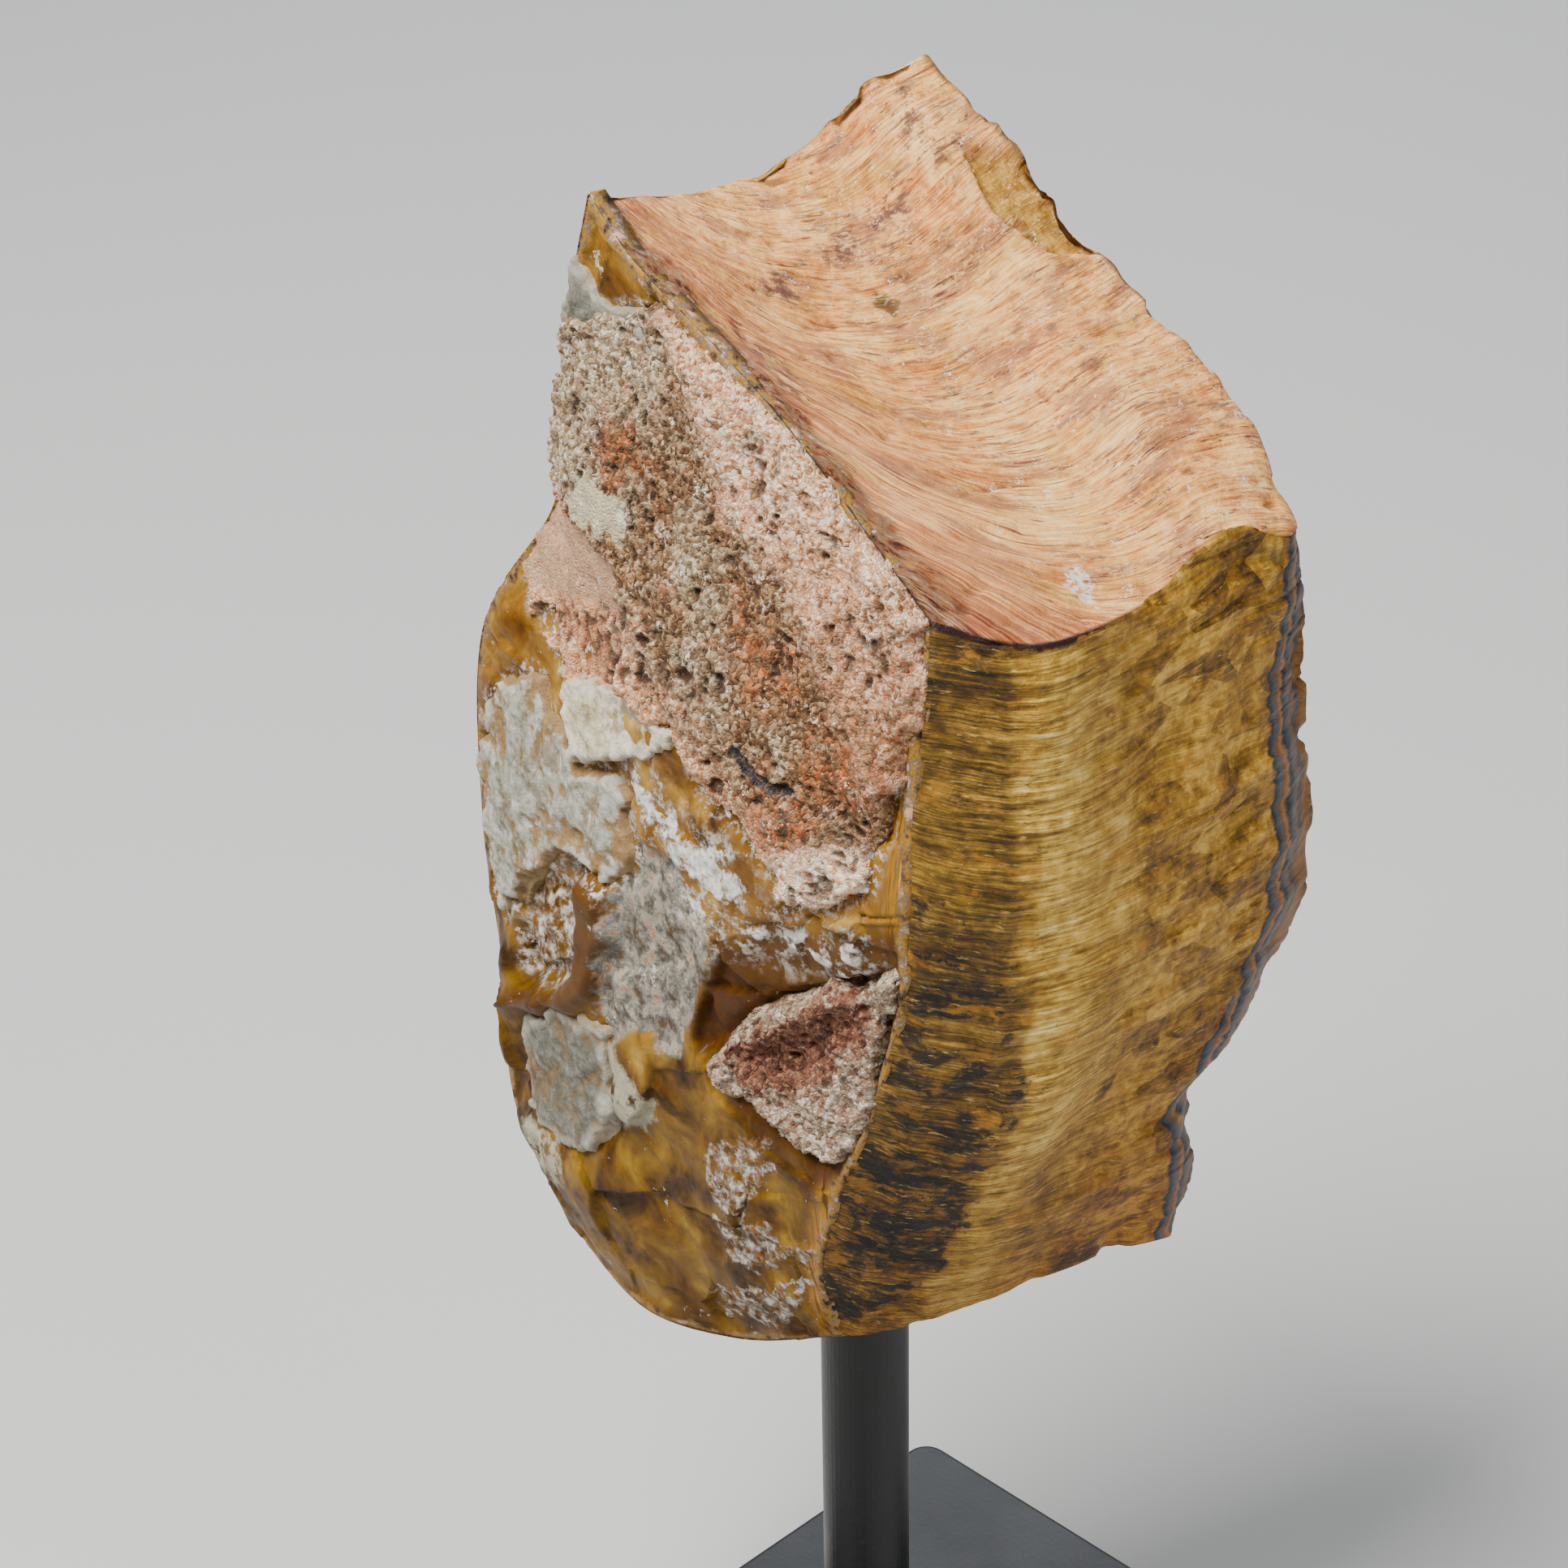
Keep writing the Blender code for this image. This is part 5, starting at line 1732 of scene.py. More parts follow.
@dataclass(frozen=True)
class GoldenFinish:
    """Silky golden fibres with navy patches, a tan weathered top and banded edges."""

    dark_side: Stops = ((0.33, 48, 36, 10), (0.45, 112, 87, 27), (0.54, 158, 126, 47), (0.66, 208, 174, 90))
    gold_side: Stops = ((0.33, 84, 60, 13), (0.45, 146, 110, 30), (0.54, 181, 143, 50), (0.66, 218, 184, 100))
    # Painted shade: the front's colours low down, darker where the light falls off
    shaded_low_side: Stops = ((0.33, 58, 34, 4), (0.45, 108, 70, 8), (0.54, 142, 98, 16), (0.66, 182, 140, 46))
    # Painted sheen: the colours of the pale bands, lighter where the silky fibres shine
    sheen_side: Stops = (
        (0.33, 104, 76, 18), (0.45, 173, 138, 52), (0.54, 216, 184, 94), (0.66, 250, 231, 166),
    )
    navy: Stops = ((0.36, 16, 20, 26), (0.5, 40, 42, 42), (0.58, 72, 62, 40), (0.68, 132, 102, 52))
    umber: Stops = ((0.36, 40, 28, 12), (0.48, 86, 62, 26), (0.58, 128, 96, 44), (0.7, 176, 140, 72))
    tan: Stops = ((0.34, 192, 124, 68), (0.44, 230, 168, 100), (0.54, 250, 200, 132), (0.66, 255, 226, 170))
    russet: Stops = ((0.34, 104, 56, 48), (0.44, 174, 108, 74), (0.54, 224, 156, 106), (0.66, 250, 208, 156))
    honey: Stops = ((0.34, 176, 120, 54), (0.44, 216, 162, 82), (0.54, 238, 190, 110), (0.66, 252, 222, 162))
    rind: Stops = (
        (0.34, 62, 36, 36), (0.43, 120, 70, 54), (0.5, 172, 124, 76), (0.56, 120, 110, 98),
        (0.68, 216, 172, 132),
    )
    bands: Stops = (
        (0.0, 166, 114, 46), (0.1, 48, 56, 64), (0.22, 92, 102, 108), (0.3, 136, 96, 62),
        (0.38, 166, 126, 82), (0.46, 56, 62, 72), (0.6, 104, 110, 114), (0.7, 142, 108, 80),
        (0.8, 84, 88, 92), (0.9, 128, 96, 62), (0.98, 146, 112, 70),
    )
    wall_layers: Stops = (
        (0.3, 92, 60, 22), (0.4, 146, 102, 38), (0.5, 172, 130, 62), (0.53, 74, 78, 80), (0.56, 106, 104, 98),
        (0.59, 140, 100, 54), (0.7, 172, 136, 86),
    )
    ochre_chip: Stops = ((0.3, 140, 98, 36), (0.5, 186, 146, 70), (0.7, 214, 180, 106))
    purple: Colour = pigment(116, 68, 70)
    brick: Colour = pigment(178, 98, 48)
    grey: Colour = pigment(108, 102, 96)
    maroon: Colour = pigment(58, 24, 24)
    white: Colour = pigment(240, 230, 220)
    olive: Colour = pigment(172, 140, 84)

    def material(self, effects: Effects) -> Material:
        """Makes the finish.

        Args:
            effects: The shared effects.

        Returns:
            The material.
        """
        graph = Surface("golden_fibre", effects)
        on_top, on_right, _ = graph.parts(graph.place("zone"))
        side = graph.streaks(graph.place("side_grain"), 9.0, 0.75)
        over = graph.streaks(graph.place("top_grain"), 11.0, 0.36)
        coats = Coats(graph, self.front(graph, side))
        coats.lay(on_right, self.right(graph))
        coats.lay(on_top, self.top(graph, over))
        rough = graph.blend(on_top + on_right, side["Thread"] * 0.25 + 0.32, 0.6)
        height = graph.blend(on_top, side["Height"], over["Height"])
        chips = graph.noise(graph.place("side_grain"), 1.1, 5.0, 0.7)
        height = chips * 0.9 + height
        graph.shader.inputs["Specular IOR Level"].default_value = 0.25
        return graph.finish(coats.top, rough, height, 0.75, 0.0004)

    def front(self, graph: Surface, streak: dict[str, Tone]) -> Tone:
        """Paints the golden front and back.

        Args:
            graph: The material's graph.
            streak: The fibres' streaks.

        Returns:
            The colour.
        """
        grain = graph.place("side_grain")
        cloud = graph.noise(grain, 0.11, 3.0)
        crumb = graph.noise(grain, 0.8, 4.0, 0.65)
        pale = graph.mark("pale")
        plates = graph.grains(graph.stretched(grain, (0.45, 0.9, 0.1)), 1.7)
        calm = pale.rise(4.0, 12.0)
        tone = streak["Thread"] * (calm * -0.22 + 0.5)
        tone = streak["Tone"] * 0.2 + tone
        tone = calm * 0.16 * (plates["Tone"] - 0.5) + tone
        tone = crumb * (calm * 0.22 + 0.3) + tone
        tone = cloud * 0.3 + (tone - 0.15)
        frayed = (streak["Tone"] - 0.5) * 5.0 + pale
        coats = Coats(graph, graph.ramp(tone, self.dark_side))
        coats.lay(frayed.rise(-5.0, -1.6), graph.ramp(tone, self.gold_side))
        # The pale bands are painted sheen: the silky shine of the fibres where they fold, laid as lighter
        # colour
        band = frayed.rise(-4.4, -1.2) * frayed.rise(6.0, 1.0, 1.0)
        second = frayed.rise(4.5, 6.5) * frayed.rise(10.5, 7.5, 0.35)
        coats.lay(graph.most(band, second), graph.ramp(tone, self.sheen_side))
        shaded = graph.mark("below_rim").rise(26.0, 4.0, 0.45) * frayed.rise(-1.6, -5.0)
        coats.lay(shaded, graph.ramp(tone, self.umber))
        # Darker towards the bottom: painted shade, as the light falls off lower down
        lower_shade = graph.mark("below_rim").rise(34.0, 64.0, calm * 0.35 + 0.6)
        coats.lay(lower_shade, graph.ramp(tone, self.shaded_low_side))
        navy = graph.ragged("navy", grain, 3.4, 1.6, 0.5)
        deeper = graph.mark("below_rim").rise(26.0, 52.0)
        patch = graph.noise(grain, (0.2, 0.3, 0.1), 6.0, 0.72, 0.5)
        patch = (deeper * 0.07 + patch).rise(0.53, 0.6, 0.92)
        coats.lay(navy * 0.5, graph.ramp(tone, self.umber))
        coats.lay(navy * patch, graph.ramp(tone, self.navy))
        dark = streak["Dash"] * graph.noise(grain, 0.16).rise(0.46, 0.62, 0.36)
        coats.lay(dark, pigment(62, 44, 20))
        coats.lay(streak["Crack"] * pale.rise(4.0, -1.0, 0.6), pigment(44, 30, 12))
        # Painted shade in the sunk cracks and low ledges of the fine relief
        coats.lay(graph.mark("fine").rise(-0.14, -0.36, 0.6), pigment(58, 40, 14))
        orange = graph.noise(grain, (0.25, 0.5, 0.1), 5.0, 0.66).rise(0.56, 0.66, 0.55)
        coats.lay(orange, graph.mix(crumb, pigment(130, 82, 12), pigment(214, 160, 50)))
        glint = graph.noise(grain, (0.7, 3.4, 0.1), 4.0, 0.65).rise(0.6, 0.7, 0.45)
        coats.lay(glint, pigment(234, 204, 132))
        scallop = (graph.noise(grain, (0.1, 0.35, 0.1), 3.0) - 0.5) * 4.0
        outward = graph.mark("edge_bands") + scallop
        bands = graph.ramp((streak["Tone"] * 1.2 + outward) / 5.5, self.bands)
        coats.lay(outward.rise(-0.6, -0.1), bands)
        line = graph.ragged(0.7 - graph.mark("below_rim"), grain, 2.5, 0.5, 0.2)
        line = line * pale.rise(12.0, 5.0)
        coats.lay(line, self.maroon)
        return coats.top

    def top(self, graph: Surface, streak: dict[str, Tone]) -> Tone:
        """Paints the tan top.

        Args:
            graph: The material's graph.
            streak: The fibres' streaks.

        Returns:
            The colour.
        """
        grain = graph.place("top_grain")
        wide = graph.noise(grain, 0.13, 3.0)
        inward = graph.mark("from_left_rim")
        near_rim = inward.rise(13.0, 2.5)
        broken = graph.noise(grain, (0.7, 1.2, 0.1), 5.0, 0.7)
        tone = streak["Thread"] * 0.45 + streak["Tone"] * 0.35
        tone = broken * 0.45 + (wide * 0.4 + (tone - 0.33))
        coats = Coats(graph, graph.ramp(tone, self.tan))
        coats.lay(near_rim * 0.85, graph.ramp(tone, self.russet))
        honey = graph.noise(grain, (0.12, 0.2, 0.1), 5.0, 0.65).rise(0.5, 0.6, 0.75)
        coats.lay(honey, graph.ramp(tone, self.honey))
        mauve = graph.noise(grain, (0.12, 0.34, 0.1), 6.0, 0.68).rise(0.5, 0.6, 0.75)
        coats.lay(mauve, graph.mix(broken, pigment(124, 76, 66), pigment(222, 164, 122)))
        other = graph.streaks(graph.moved(grain, (31.0, 17.0, 5.0)), 7.0, 0.5)
        third = graph.streaks(graph.moved(grain, (11.0, 47.0, 5.0)), 8.0, 0.55)
        coats.lay(streak["Dash"] * wide.rise(0.4, 0.6, 0.85), self.purple)
        coats.lay(other["Dash"] * (near_rim * 0.4 + 0.4), self.brick)
        coats.lay(third["Dash"] * wide.rise(0.58, 0.44, 0.7), self.grey)
        patches = graph.ragged("dark_top", grain, 2.0, 1.3, 0.6)
        patches = patches * broken.rise(0.56, 0.44, 0.75)
        coats.lay(patches, pigment(96, 72, 80))
        mottle = graph.noise(grain, 0.9, 5.0, 0.7)
        front_rim = graph.ragged(1.6 - graph.mark("from_front"), grain, 2.0, 0.9, 0.6)
        coats.lay(front_rim * 0.7, graph.ramp(tone, self.russet))
        rim = graph.ragged(2.6 - inward, grain, 2.2, 1.6, 0.9)
        coats.lay(rim, graph.ramp(mottle, self.rind))
        chip = graph.ragged("rim_chip", grain, 1.6, 0.7, 0.4)
        coats.lay(chip, graph.ramp(mottle, self.ochre_chip))
        olive = graph.mix(mottle, pigment(78, 66, 36), self.olive)
        coats.lay(graph.ragged("olive_chip", grain, 0.9, 0.35, 0.2), olive)
        speck = graph.ragged("white_speck", grain, 1.4, 0.7, 0.15)
        coats.lay(speck * graph.noise(grain, 2.4, 4.0, 0.7).rise(0.42, 0.5), self.white)
        coats.lay(streak["Crack"] * 0.85, pigment(104, 54, 42))
        # Pale hairlines along the fibres: painted glints
        coats.lay(third["Crack"] * 0.6, pigment(244, 222, 186))
        # Painted shade in the top's sunk pits, cracks and low ledges of the fine relief
        coats.lay(graph.mark("fine").rise(-0.1, -0.4, 0.7), pigment(116, 66, 50))
        crack = graph.mark("crack").rise(0.22, 0.05, 0.6) * mottle.rise(0.44, 0.54)
        coats.lay(crack, pigment(112, 58, 40))
        flakes = graph.flecks(graph.stretched(grain, (0.8, 1.6, 0.1)), 0.45, 0.4)
        coats.lay(flakes * inward.rise(2.0, 18.0, 0.5), pigment(255, 208, 160))
        sparkle = graph.flecks(grain, 0.22, 0.2)
        coats.lay(sparkle * inward.rise(4.0, 16.0, 0.9), self.white)
        return coats.top

    def right(self, graph: Surface) -> Tone:
        """Paints the wall at the fibres' far ends, where chips cut through the bands.

        Args:
            graph: The material's graph.

        Returns:
            The colour.
        """
        grain = graph.place("side_grain")
        cloud = graph.noise(grain, (0.18, 0.12, 0.24), 6.0, 0.66, 0.4)
        depth = graph.mark("raised") * 0.3 + (cloud * 0.9 + 0.05)
        coats = Coats(graph, graph.ramp(depth, self.wall_layers))
        crumb = graph.noise(grain, 1.2, 5.0, 0.72)
        coats.lay(crumb.rise(0.54, 0.4, 0.6), graph.mix(cloud, pigment(58, 36, 14), pigment(132, 92, 44)))
        dust = graph.flecks(grain, 0.7, 0.35)
        coats.lay(dust * 0.6, pigment(206, 184, 146))
        return coats.top


@dataclass(frozen=True)
class JasperFinish:
    """Glossy brown-gold jasper with chalky skins and white dabs."""

    jasper: Stops = (
        (0.3, 78, 52, 16), (0.42, 124, 90, 30), (0.52, 152, 116, 46), (0.62, 178, 144, 72),
        (0.75, 210, 178, 108),
    )
    # Painted shade: the jasper's colours low down, darker where the light falls off
    shaded_low_jasper: Stops = (
        (0.3, 46, 30, 6), (0.42, 92, 66, 14), (0.52, 124, 94, 22), (0.62, 146, 116, 36), (0.75, 176, 146, 68),
    )
    laminae: Stops = (
        (0.3, 52, 36, 16), (0.4, 138, 98, 26), (0.5, 180, 136, 44), (0.58, 120, 104, 74),
        (0.68, 208, 172, 92),
    )
    border: Stops = (
        (0.34, 66, 38, 36), (0.42, 118, 102, 84), (0.5, 176, 138, 54), (0.56, 120, 112, 104),
        (0.66, 206, 172, 146),
    )
    skin: Stops = (
        (0.32, 112, 74, 30), (0.42, 150, 112, 66), (0.5, 150, 138, 126), (0.58, 196, 190, 180),
        (0.68, 224, 220, 212),
    )
    milk: Stops = (
        (0.34, 124, 84, 30), (0.42, 112, 106, 96), (0.5, 150, 144, 132), (0.57, 184, 177, 164),
        (0.64, 184, 140, 96),
    )
    white: Stops = ((0.3, 186, 178, 164), (0.5, 222, 219, 212), (0.7, 244, 242, 238))
    red: Colour = pigment(108, 64, 22)
    blue_grey: Colour = pigment(118, 124, 130)

    def material(self, effects: Effects) -> Material:
        """Makes the finish.

        Args:
            effects: The shared effects.

        Returns:
            The material.
        """
        graph = Surface("jasper_rind", effects)
        place = graph.place("place")
        coats = Coats(graph, self.stone(graph, place))
        speckle = graph.noise(place, 1.0, 5.0, 0.68)
        fin = graph.mark("fin").rise(-0.5, 0.4, 0.9)
        coats.lay(fin, graph.mix(graph.noise(place, 0.5), pigment(70, 46, 18), pigment(128, 92, 44)))
        oval = graph.ragged("oval", place, 1.8, 0.7, 0.5)
        coats.lay(oval * speckle.rise(0.36, 0.54, 0.85), graph.ramp(speckle, self.skin))
        milky = graph.ragged("milky", place, 2.4, 1.1, 0.5)
        cloudy = graph.noise(place, (0.5, 0.5, 0.4), 6.0, 0.74)
        coats.lay(milky, graph.ramp(cloudy, self.milk))
        ring = graph.mark("milky").rise(1.6, 0.2) * milky
        coats.lay(ring * speckle.rise(0.44, 0.56, 0.45), self.blue_grey)
        column = graph.ragged("column", place, 1.6, 1.0, 0.3)
        column = column * graph.noise(place, 0.7, 5.0, 0.7).rise(0.4, 0.5)
        coats.lay(column, graph.ramp(speckle, self.skin))
        thin = graph.ragged("thin_chalk", place, 1.8, 0.9, 0.5)
        thin = thin * graph.noise(place, 0.5, 5.0, 0.7).rise(0.38, 0.5, 0.85)
        coats.lay(thin, graph.mix(speckle, pigment(150, 144, 116), pigment(212, 208, 190)))
        crevice = graph.mark("crevice").rise(-0.5, 0.3, 0.95)
        shade = graph.most(crevice, graph.mark("recess").rise(-0.5, 1.5, 0.75))
        coats.lay(shade, graph.mix(speckle, pigment(34, 20, 2), pigment(128, 84, 18)))
        dabs = graph.ragged("dabs", place, 0.9, 0.4, 0.25)
        dabs = dabs * graph.noise(place, 0.9, 5.0, 0.7).rise(0.36, 0.48)
        film = graph.mark("dabs").rise(-4.0, 0.2, 0.8) * graph.noise(place, 0.7, 6.0, 0.76).rise(0.48, 0.6)
        flecks = graph.flecks(place, 0.7, 0.12)
        halo = graph.mark("grown").rise(-1.6, -0.1, 0.8)
        dust = graph.noise(place, 1.3, 4.0, 0.7).rise(0.48, 0.6) * halo
        pale = graph.most(dabs, film, dust, flecks * 0.6)
        coats.lay(pale, graph.ramp(graph.noise(place, 1.6, 4.0), self.white))
        edge = graph.ragged(0.9 - graph.mark("inside"), place, 1.8, 0.6, 0.3)
        coats.lay(edge, graph.ramp(graph.noise(place, 0.7, 4.0, 0.65), self.border))
        chalky = graph.most(pale, milky, column, thin, oval)
        rough = chalky * 0.35 + (speckle * 0.25 + 0.36)
        graph.put(chalky * -0.05 + 0.05, graph.shader.inputs["Coat Weight"])
        graph.shader.inputs["Coat Roughness"].default_value = 0.2
        graph.shader.inputs["Specular IOR Level"].default_value = 0.12
        height = graph.noise(place, 2.2, 5.0, 0.65) * (chalky * 0.8 + 0.12)
        return graph.finish(coats.top, rough, height, 0.7, 0.0004)

    def stone(self, graph: Surface, place: Value) -> Tone:
        """Paints the bare jasper, darker low down as painted shade, with laminae at its edges.

        Args:
            graph: The material's graph.
            place: Where each point lies.

        Returns:
            The colour.
        """
        tone = graph.noise(place, 0.2, 6.0, 0.6, 0.5)
        height = graph.parts(place)[2]
        wander = (graph.noise(place, 0.1, 3.0) - 0.5) * 40.0 + height
        # Painted shade: darker jasper low down, where the light falls off; the lit jasper is laid higher up
        coats = Coats(graph, graph.ramp(tone, self.shaded_low_jasper))
        coats.lay(wander.rise(92.0, 116.0), graph.ramp(tone, self.jasper))
        stain = graph.noise(place, 0.14, 5.0, 0.66).rise(0.54, 0.66, 0.35)
        coats.lay(stain, self.red)
        veins = graph.noise(place, (0.4, 2.2, 0.09), 4.0, 0.6)
        coats.lay(graph.mark("near_edge").rise(3.2, 1.2), graph.ramp(veins, self.laminae))
        above = graph.mark("above_crust").rise(-0.5, 0.5)
        layers = graph.noise(place, (0.4, 0.3, 1.2), 5.0, 0.65)
        window = graph.ragged("window", place, 1.5, 0.3, 0.2)
        bare = above * (1.0 - window)
        coats.lay(bare, graph.ramp(layers, self.border))
        return coats.top


@dataclass(frozen=True)
class CrustFinish:
    """Granular pink, cream and brick-red crust, with painted shade in its pores and between its grains."""

    cream: Stops = ((0.2, 118, 92, 64), (0.4, 170, 148, 118), (0.55, 202, 186, 158), (0.8, 236, 226, 208))
    brown: Stops = (
        (0.15, 60, 38, 22), (0.35, 112, 80, 52), (0.5, 146, 114, 80), (0.65, 178, 150, 116),
        (0.85, 220, 200, 170),
    )
    pink: Stops = (
        (0.15, 128, 74, 42), (0.32, 200, 148, 108), (0.48, 238, 202, 168), (0.65, 248, 228, 204),
        (0.85, 254, 248, 240),
    )
    orange_pink: Stops = (
        (0.15, 142, 80, 42), (0.35, 214, 156, 114), (0.55, 238, 198, 162), (0.8, 250, 232, 210),
    )
    brick: Stops = ((0.2, 92, 42, 10), (0.45, 156, 80, 22), (0.6, 190, 110, 44), (0.85, 222, 164, 108))
    # Painted shade: the colour laid in the pores and between the grains
    pore_shade: Colour = pigment(70, 48, 36)

    def material(self, effects: Effects) -> Material:
        """Makes the finish.

        Args:
            effects: The shared effects.

        Returns:
            The material.
        """
        graph = Surface("granular_crust", effects)
        place = graph.place("place")
        grain = graph.grains(place, 0.36)
        crumb = graph.noise(place, 2.4, 5.0, 0.75)
        tone = grain["Tone"] * 0.45 + crumb * 0.55
        wide = graph.noise(place, 0.2, 4.0, 0.6)
        up = (wide - 0.5) * 14.0 + graph.mark("toward_rim")
        coats = Coats(graph, graph.ramp(tone, self.orange_pink))
        coats.lay(up.rise(106.0, 112.0), graph.ramp(tone, self.brown))
        stepped = graph.ragged("step", place, 1.5, 0.4, 0.3)
        coats.lay(stepped, graph.ramp(tone, self.orange_pink))
        cream = graph.ragged("cream", place, 2.5, 1.3, 0.9)
        streaky = graph.noise(place, 0.33, 5.0, 0.65).rise(0.5, 0.58, 0.6)
        height = graph.parts(place)[2]
        high = height.rise(137.0, 145.0, 0.45)
        cream = cream * (high + 0.5)
        cream = graph.most(cream, streaky * (stepped * -0.7 + 0.7))
        coats.lay(cream, graph.ramp(tone, self.cream))
        rim = graph.ragged("raised_rim", place, 2.5, 1.6, 1.4)
        low_rim = height.rise(150.0, 134.0, 0.16)
        worn = (graph.noise(place, 0.55, 6.0, 0.72) + low_rim).rise(0.54, 0.66, 0.75)
        coats.lay(rim * (1.0 - worn), graph.ramp(tone, self.pink))
        end = graph.ragged("white_end", place, 2.0, 0.8, 0.8)
        coats.lay(end, graph.ramp(tone + 0.08, self.pink))
        brick = graph.ragged("brick", place, 1.5, 2.4, 1.8)
        brick = brick * (stepped * -0.15 + 0.95)
        loose = graph.noise(place, 0.4, 6.0, 0.74).rise(0.5, 0.6, 0.6)
        reds = graph.most(brick, loose) * grain["Tone"].rise(0.38, 0.5, 0.95)
        reds = reds * crumb.rise(0.4, 0.48)
        ruddy = rim * (graph.noise(place, 0.8, 5.0, 0.72) + low_rim).rise(0.5, 0.6, 0.75)
        reds = graph.most(reds, ruddy * grain["Tone"].rise(0.5, 0.7))
        coats.lay(reds, graph.ramp(tone, self.brick))
        # Painted shade between the grains and in the sunk pores of the crust's face
        gaps = grain["Gap"] * crumb.rise(0.56, 0.44, 0.4)
        deep = graph.mark("sunk").rise(0.04, 0.42, 0.85) * graph.mark("inside").rise(0.3, 1.3)
        coats.lay(graph.most(gaps, deep), self.pore_shade)
        smooth = graph.ragged("smooth_facet", place, 1.4, 0.5, 0.5)
        coats.lay(smooth * 0.75, graph.mix(crumb, pigment(158, 122, 92), pigment(222, 192, 164)))
        dab = graph.ragged("cream_dab", place, 1.6, 1.1, 0.3)
        coats.lay(dab * 0.85, graph.mix(crumb, pigment(186, 172, 138), pigment(228, 220, 196)))
        # Painted shade in the sunk hole and along the sunk slit
        coats.lay(graph.mark("hole").rise(-0.1, 0.3), pigment(52, 50, 40))
        slit = graph.ramp(crumb, ((0.4, 42, 44, 50), (0.52, 84, 84, 86), (0.62, 150, 116, 84)))
        coats.lay(graph.mark("slit").rise(0.46, 0.34, 0.95), slit)
        glitter = graph.flecks(place, 0.3, 0.3)
        coats.lay(glitter * graph.mark("sunk").rise(0.3, 0.0, 0.7), pigment(250, 242, 230))
        graph.shader.inputs["Specular IOR Level"].default_value = 0.35
        return graph.finish(coats.top, tone * -0.3 + 0.95, grain["Height"] + crumb, 0.7, 0.0003)


@dataclass(frozen=True)
class HollowCrustFinish:
    """Crust with a pale rim round a pink and brick-red hollow."""

    rim: Stops = ((0.25, 112, 78, 54), (0.42, 164, 138, 112), (0.55, 196, 182, 162), (0.75, 230, 222, 208))
    middle: Stops = ((0.25, 50, 26, 14), (0.4, 104, 60, 36), (0.52, 138, 92, 64), (0.7, 186, 146, 118))

    def material(self, effects: Effects) -> Material:
        """Makes the finish.

        Args:
            effects: The shared effects.

        Returns:
            The material.
        """
        graph = Surface("hollow_crust", effects)
        place = graph.place("place")
        grain = graph.grains(place, 0.4)
        crumb = graph.noise(place, 1.7, 5.0, 0.72)
        tone = grain["Tone"] * 0.3 + crumb * 0.7
        inner = graph.ragged(graph.mark("red") + 1.4, place, 1.5, 2.0, 0.9)
        coats = Coats(graph, graph.ramp(tone, self.rim))
        coats.lay(inner, graph.ramp(tone, self.middle))
        pinks = graph.noise(place, 0.45, 5.0, 0.7).rise(0.5, 0.6, 0.5)
        coats.lay(pinks, graph.mix(tone, pigment(112, 46, 18), pigment(198, 146, 116)))
        # Painted shade between the grains
        coats.lay(grain["Gap"] * 0.4, pigment(74, 42, 24))
        return graph.finish(coats.top, tone * -0.2 + 0.9, grain["Height"] + crumb, 0.7, 0.0003)


@dataclass(frozen=True)
class ChalkFinish:
    """Grey-white chalk, stained and worn through in places."""

    name: str = "grey_chalk"
    chalk: Stops = (
        (0.34, 104, 94, 66), (0.42, 146, 141, 120), (0.49, 176, 174, 158), (0.56, 198, 197, 186),
        (0.66, 226, 226, 220),
    )
    stain: Colour = pigment(140, 110, 58)
    wear: float = 0.8

    def material(self, effects: Effects) -> Material:
        """Makes the finish.

        Args:
            effects: The shared effects.

        Returns:
            The material.
        """
        graph = Surface(self.name, effects)
        place = graph.place("place")
        crumb = graph.noise(place, 1.1, 6.0, 0.74)
        wide = graph.noise(place, 0.3, 5.0, 0.7, 0.3)
        tone = wide * 0.5 + crumb * 0.5
        coats = Coats(graph, graph.ramp(tone, self.chalk))
        stains = graph.noise(place, 0.26, 6.0, 0.74, 0.5).rise(0.52, 0.59, 0.6)
        coats.lay(stains, self.stain)
        edge = graph.mark("inside").rise(1.6, 0.4, 0.5)
        coats.lay(edge, graph.mix(crumb, pigment(176, 168, 140), pigment(236, 234, 224)))
        worn = ((wide - 0.5) * 2.4 + graph.mark("raised")).rise(0.42, 0.16, self.wear)
        coats.lay(worn, graph.mix(crumb, pigment(120, 84, 24), pigment(196, 158, 84)))
        return graph.finish(coats.top, crumb * -0.2 + 0.92, crumb, 0.9, 0.0005)


@dataclass(frozen=True)
class SatinBlackFinish:
    """Black satin paint with a faint orange peel and light rubs."""

    name: str
    paint: Colour = (0.006, 0.0065, 0.007)
    rubbed: Colour = (0.03, 0.031, 0.033)

    def material(self, effects: Effects) -> Material:
        """Makes the finish.

        Args:
            effects: The shared effects.

        Returns:
            The material.
        """
        graph = Surface(self.name, effects)
        position = graph.tone("NewGeometry", {}, "Position")
        place = graph.tone("VectorMath", {0: position, 3: 1 / MM}, operation="SCALE")
        rubs = graph.flecks(place, 1.4, 0.2)
        peel = graph.noise(place, 1.6, 3.0, 0.5)
        cloud = graph.noise(place, 0.12, 3.0, 0.5)
        colour = graph.mix(rubs * 0.35, self.paint, self.rubbed)
        rough = cloud * 0.16 + (rubs * 0.12 + 0.3)
        graph.shader.inputs["Specular IOR Level"].default_value = 0.3
        return graph.finish(colour, rough, peel, 0.25, 0.0001)


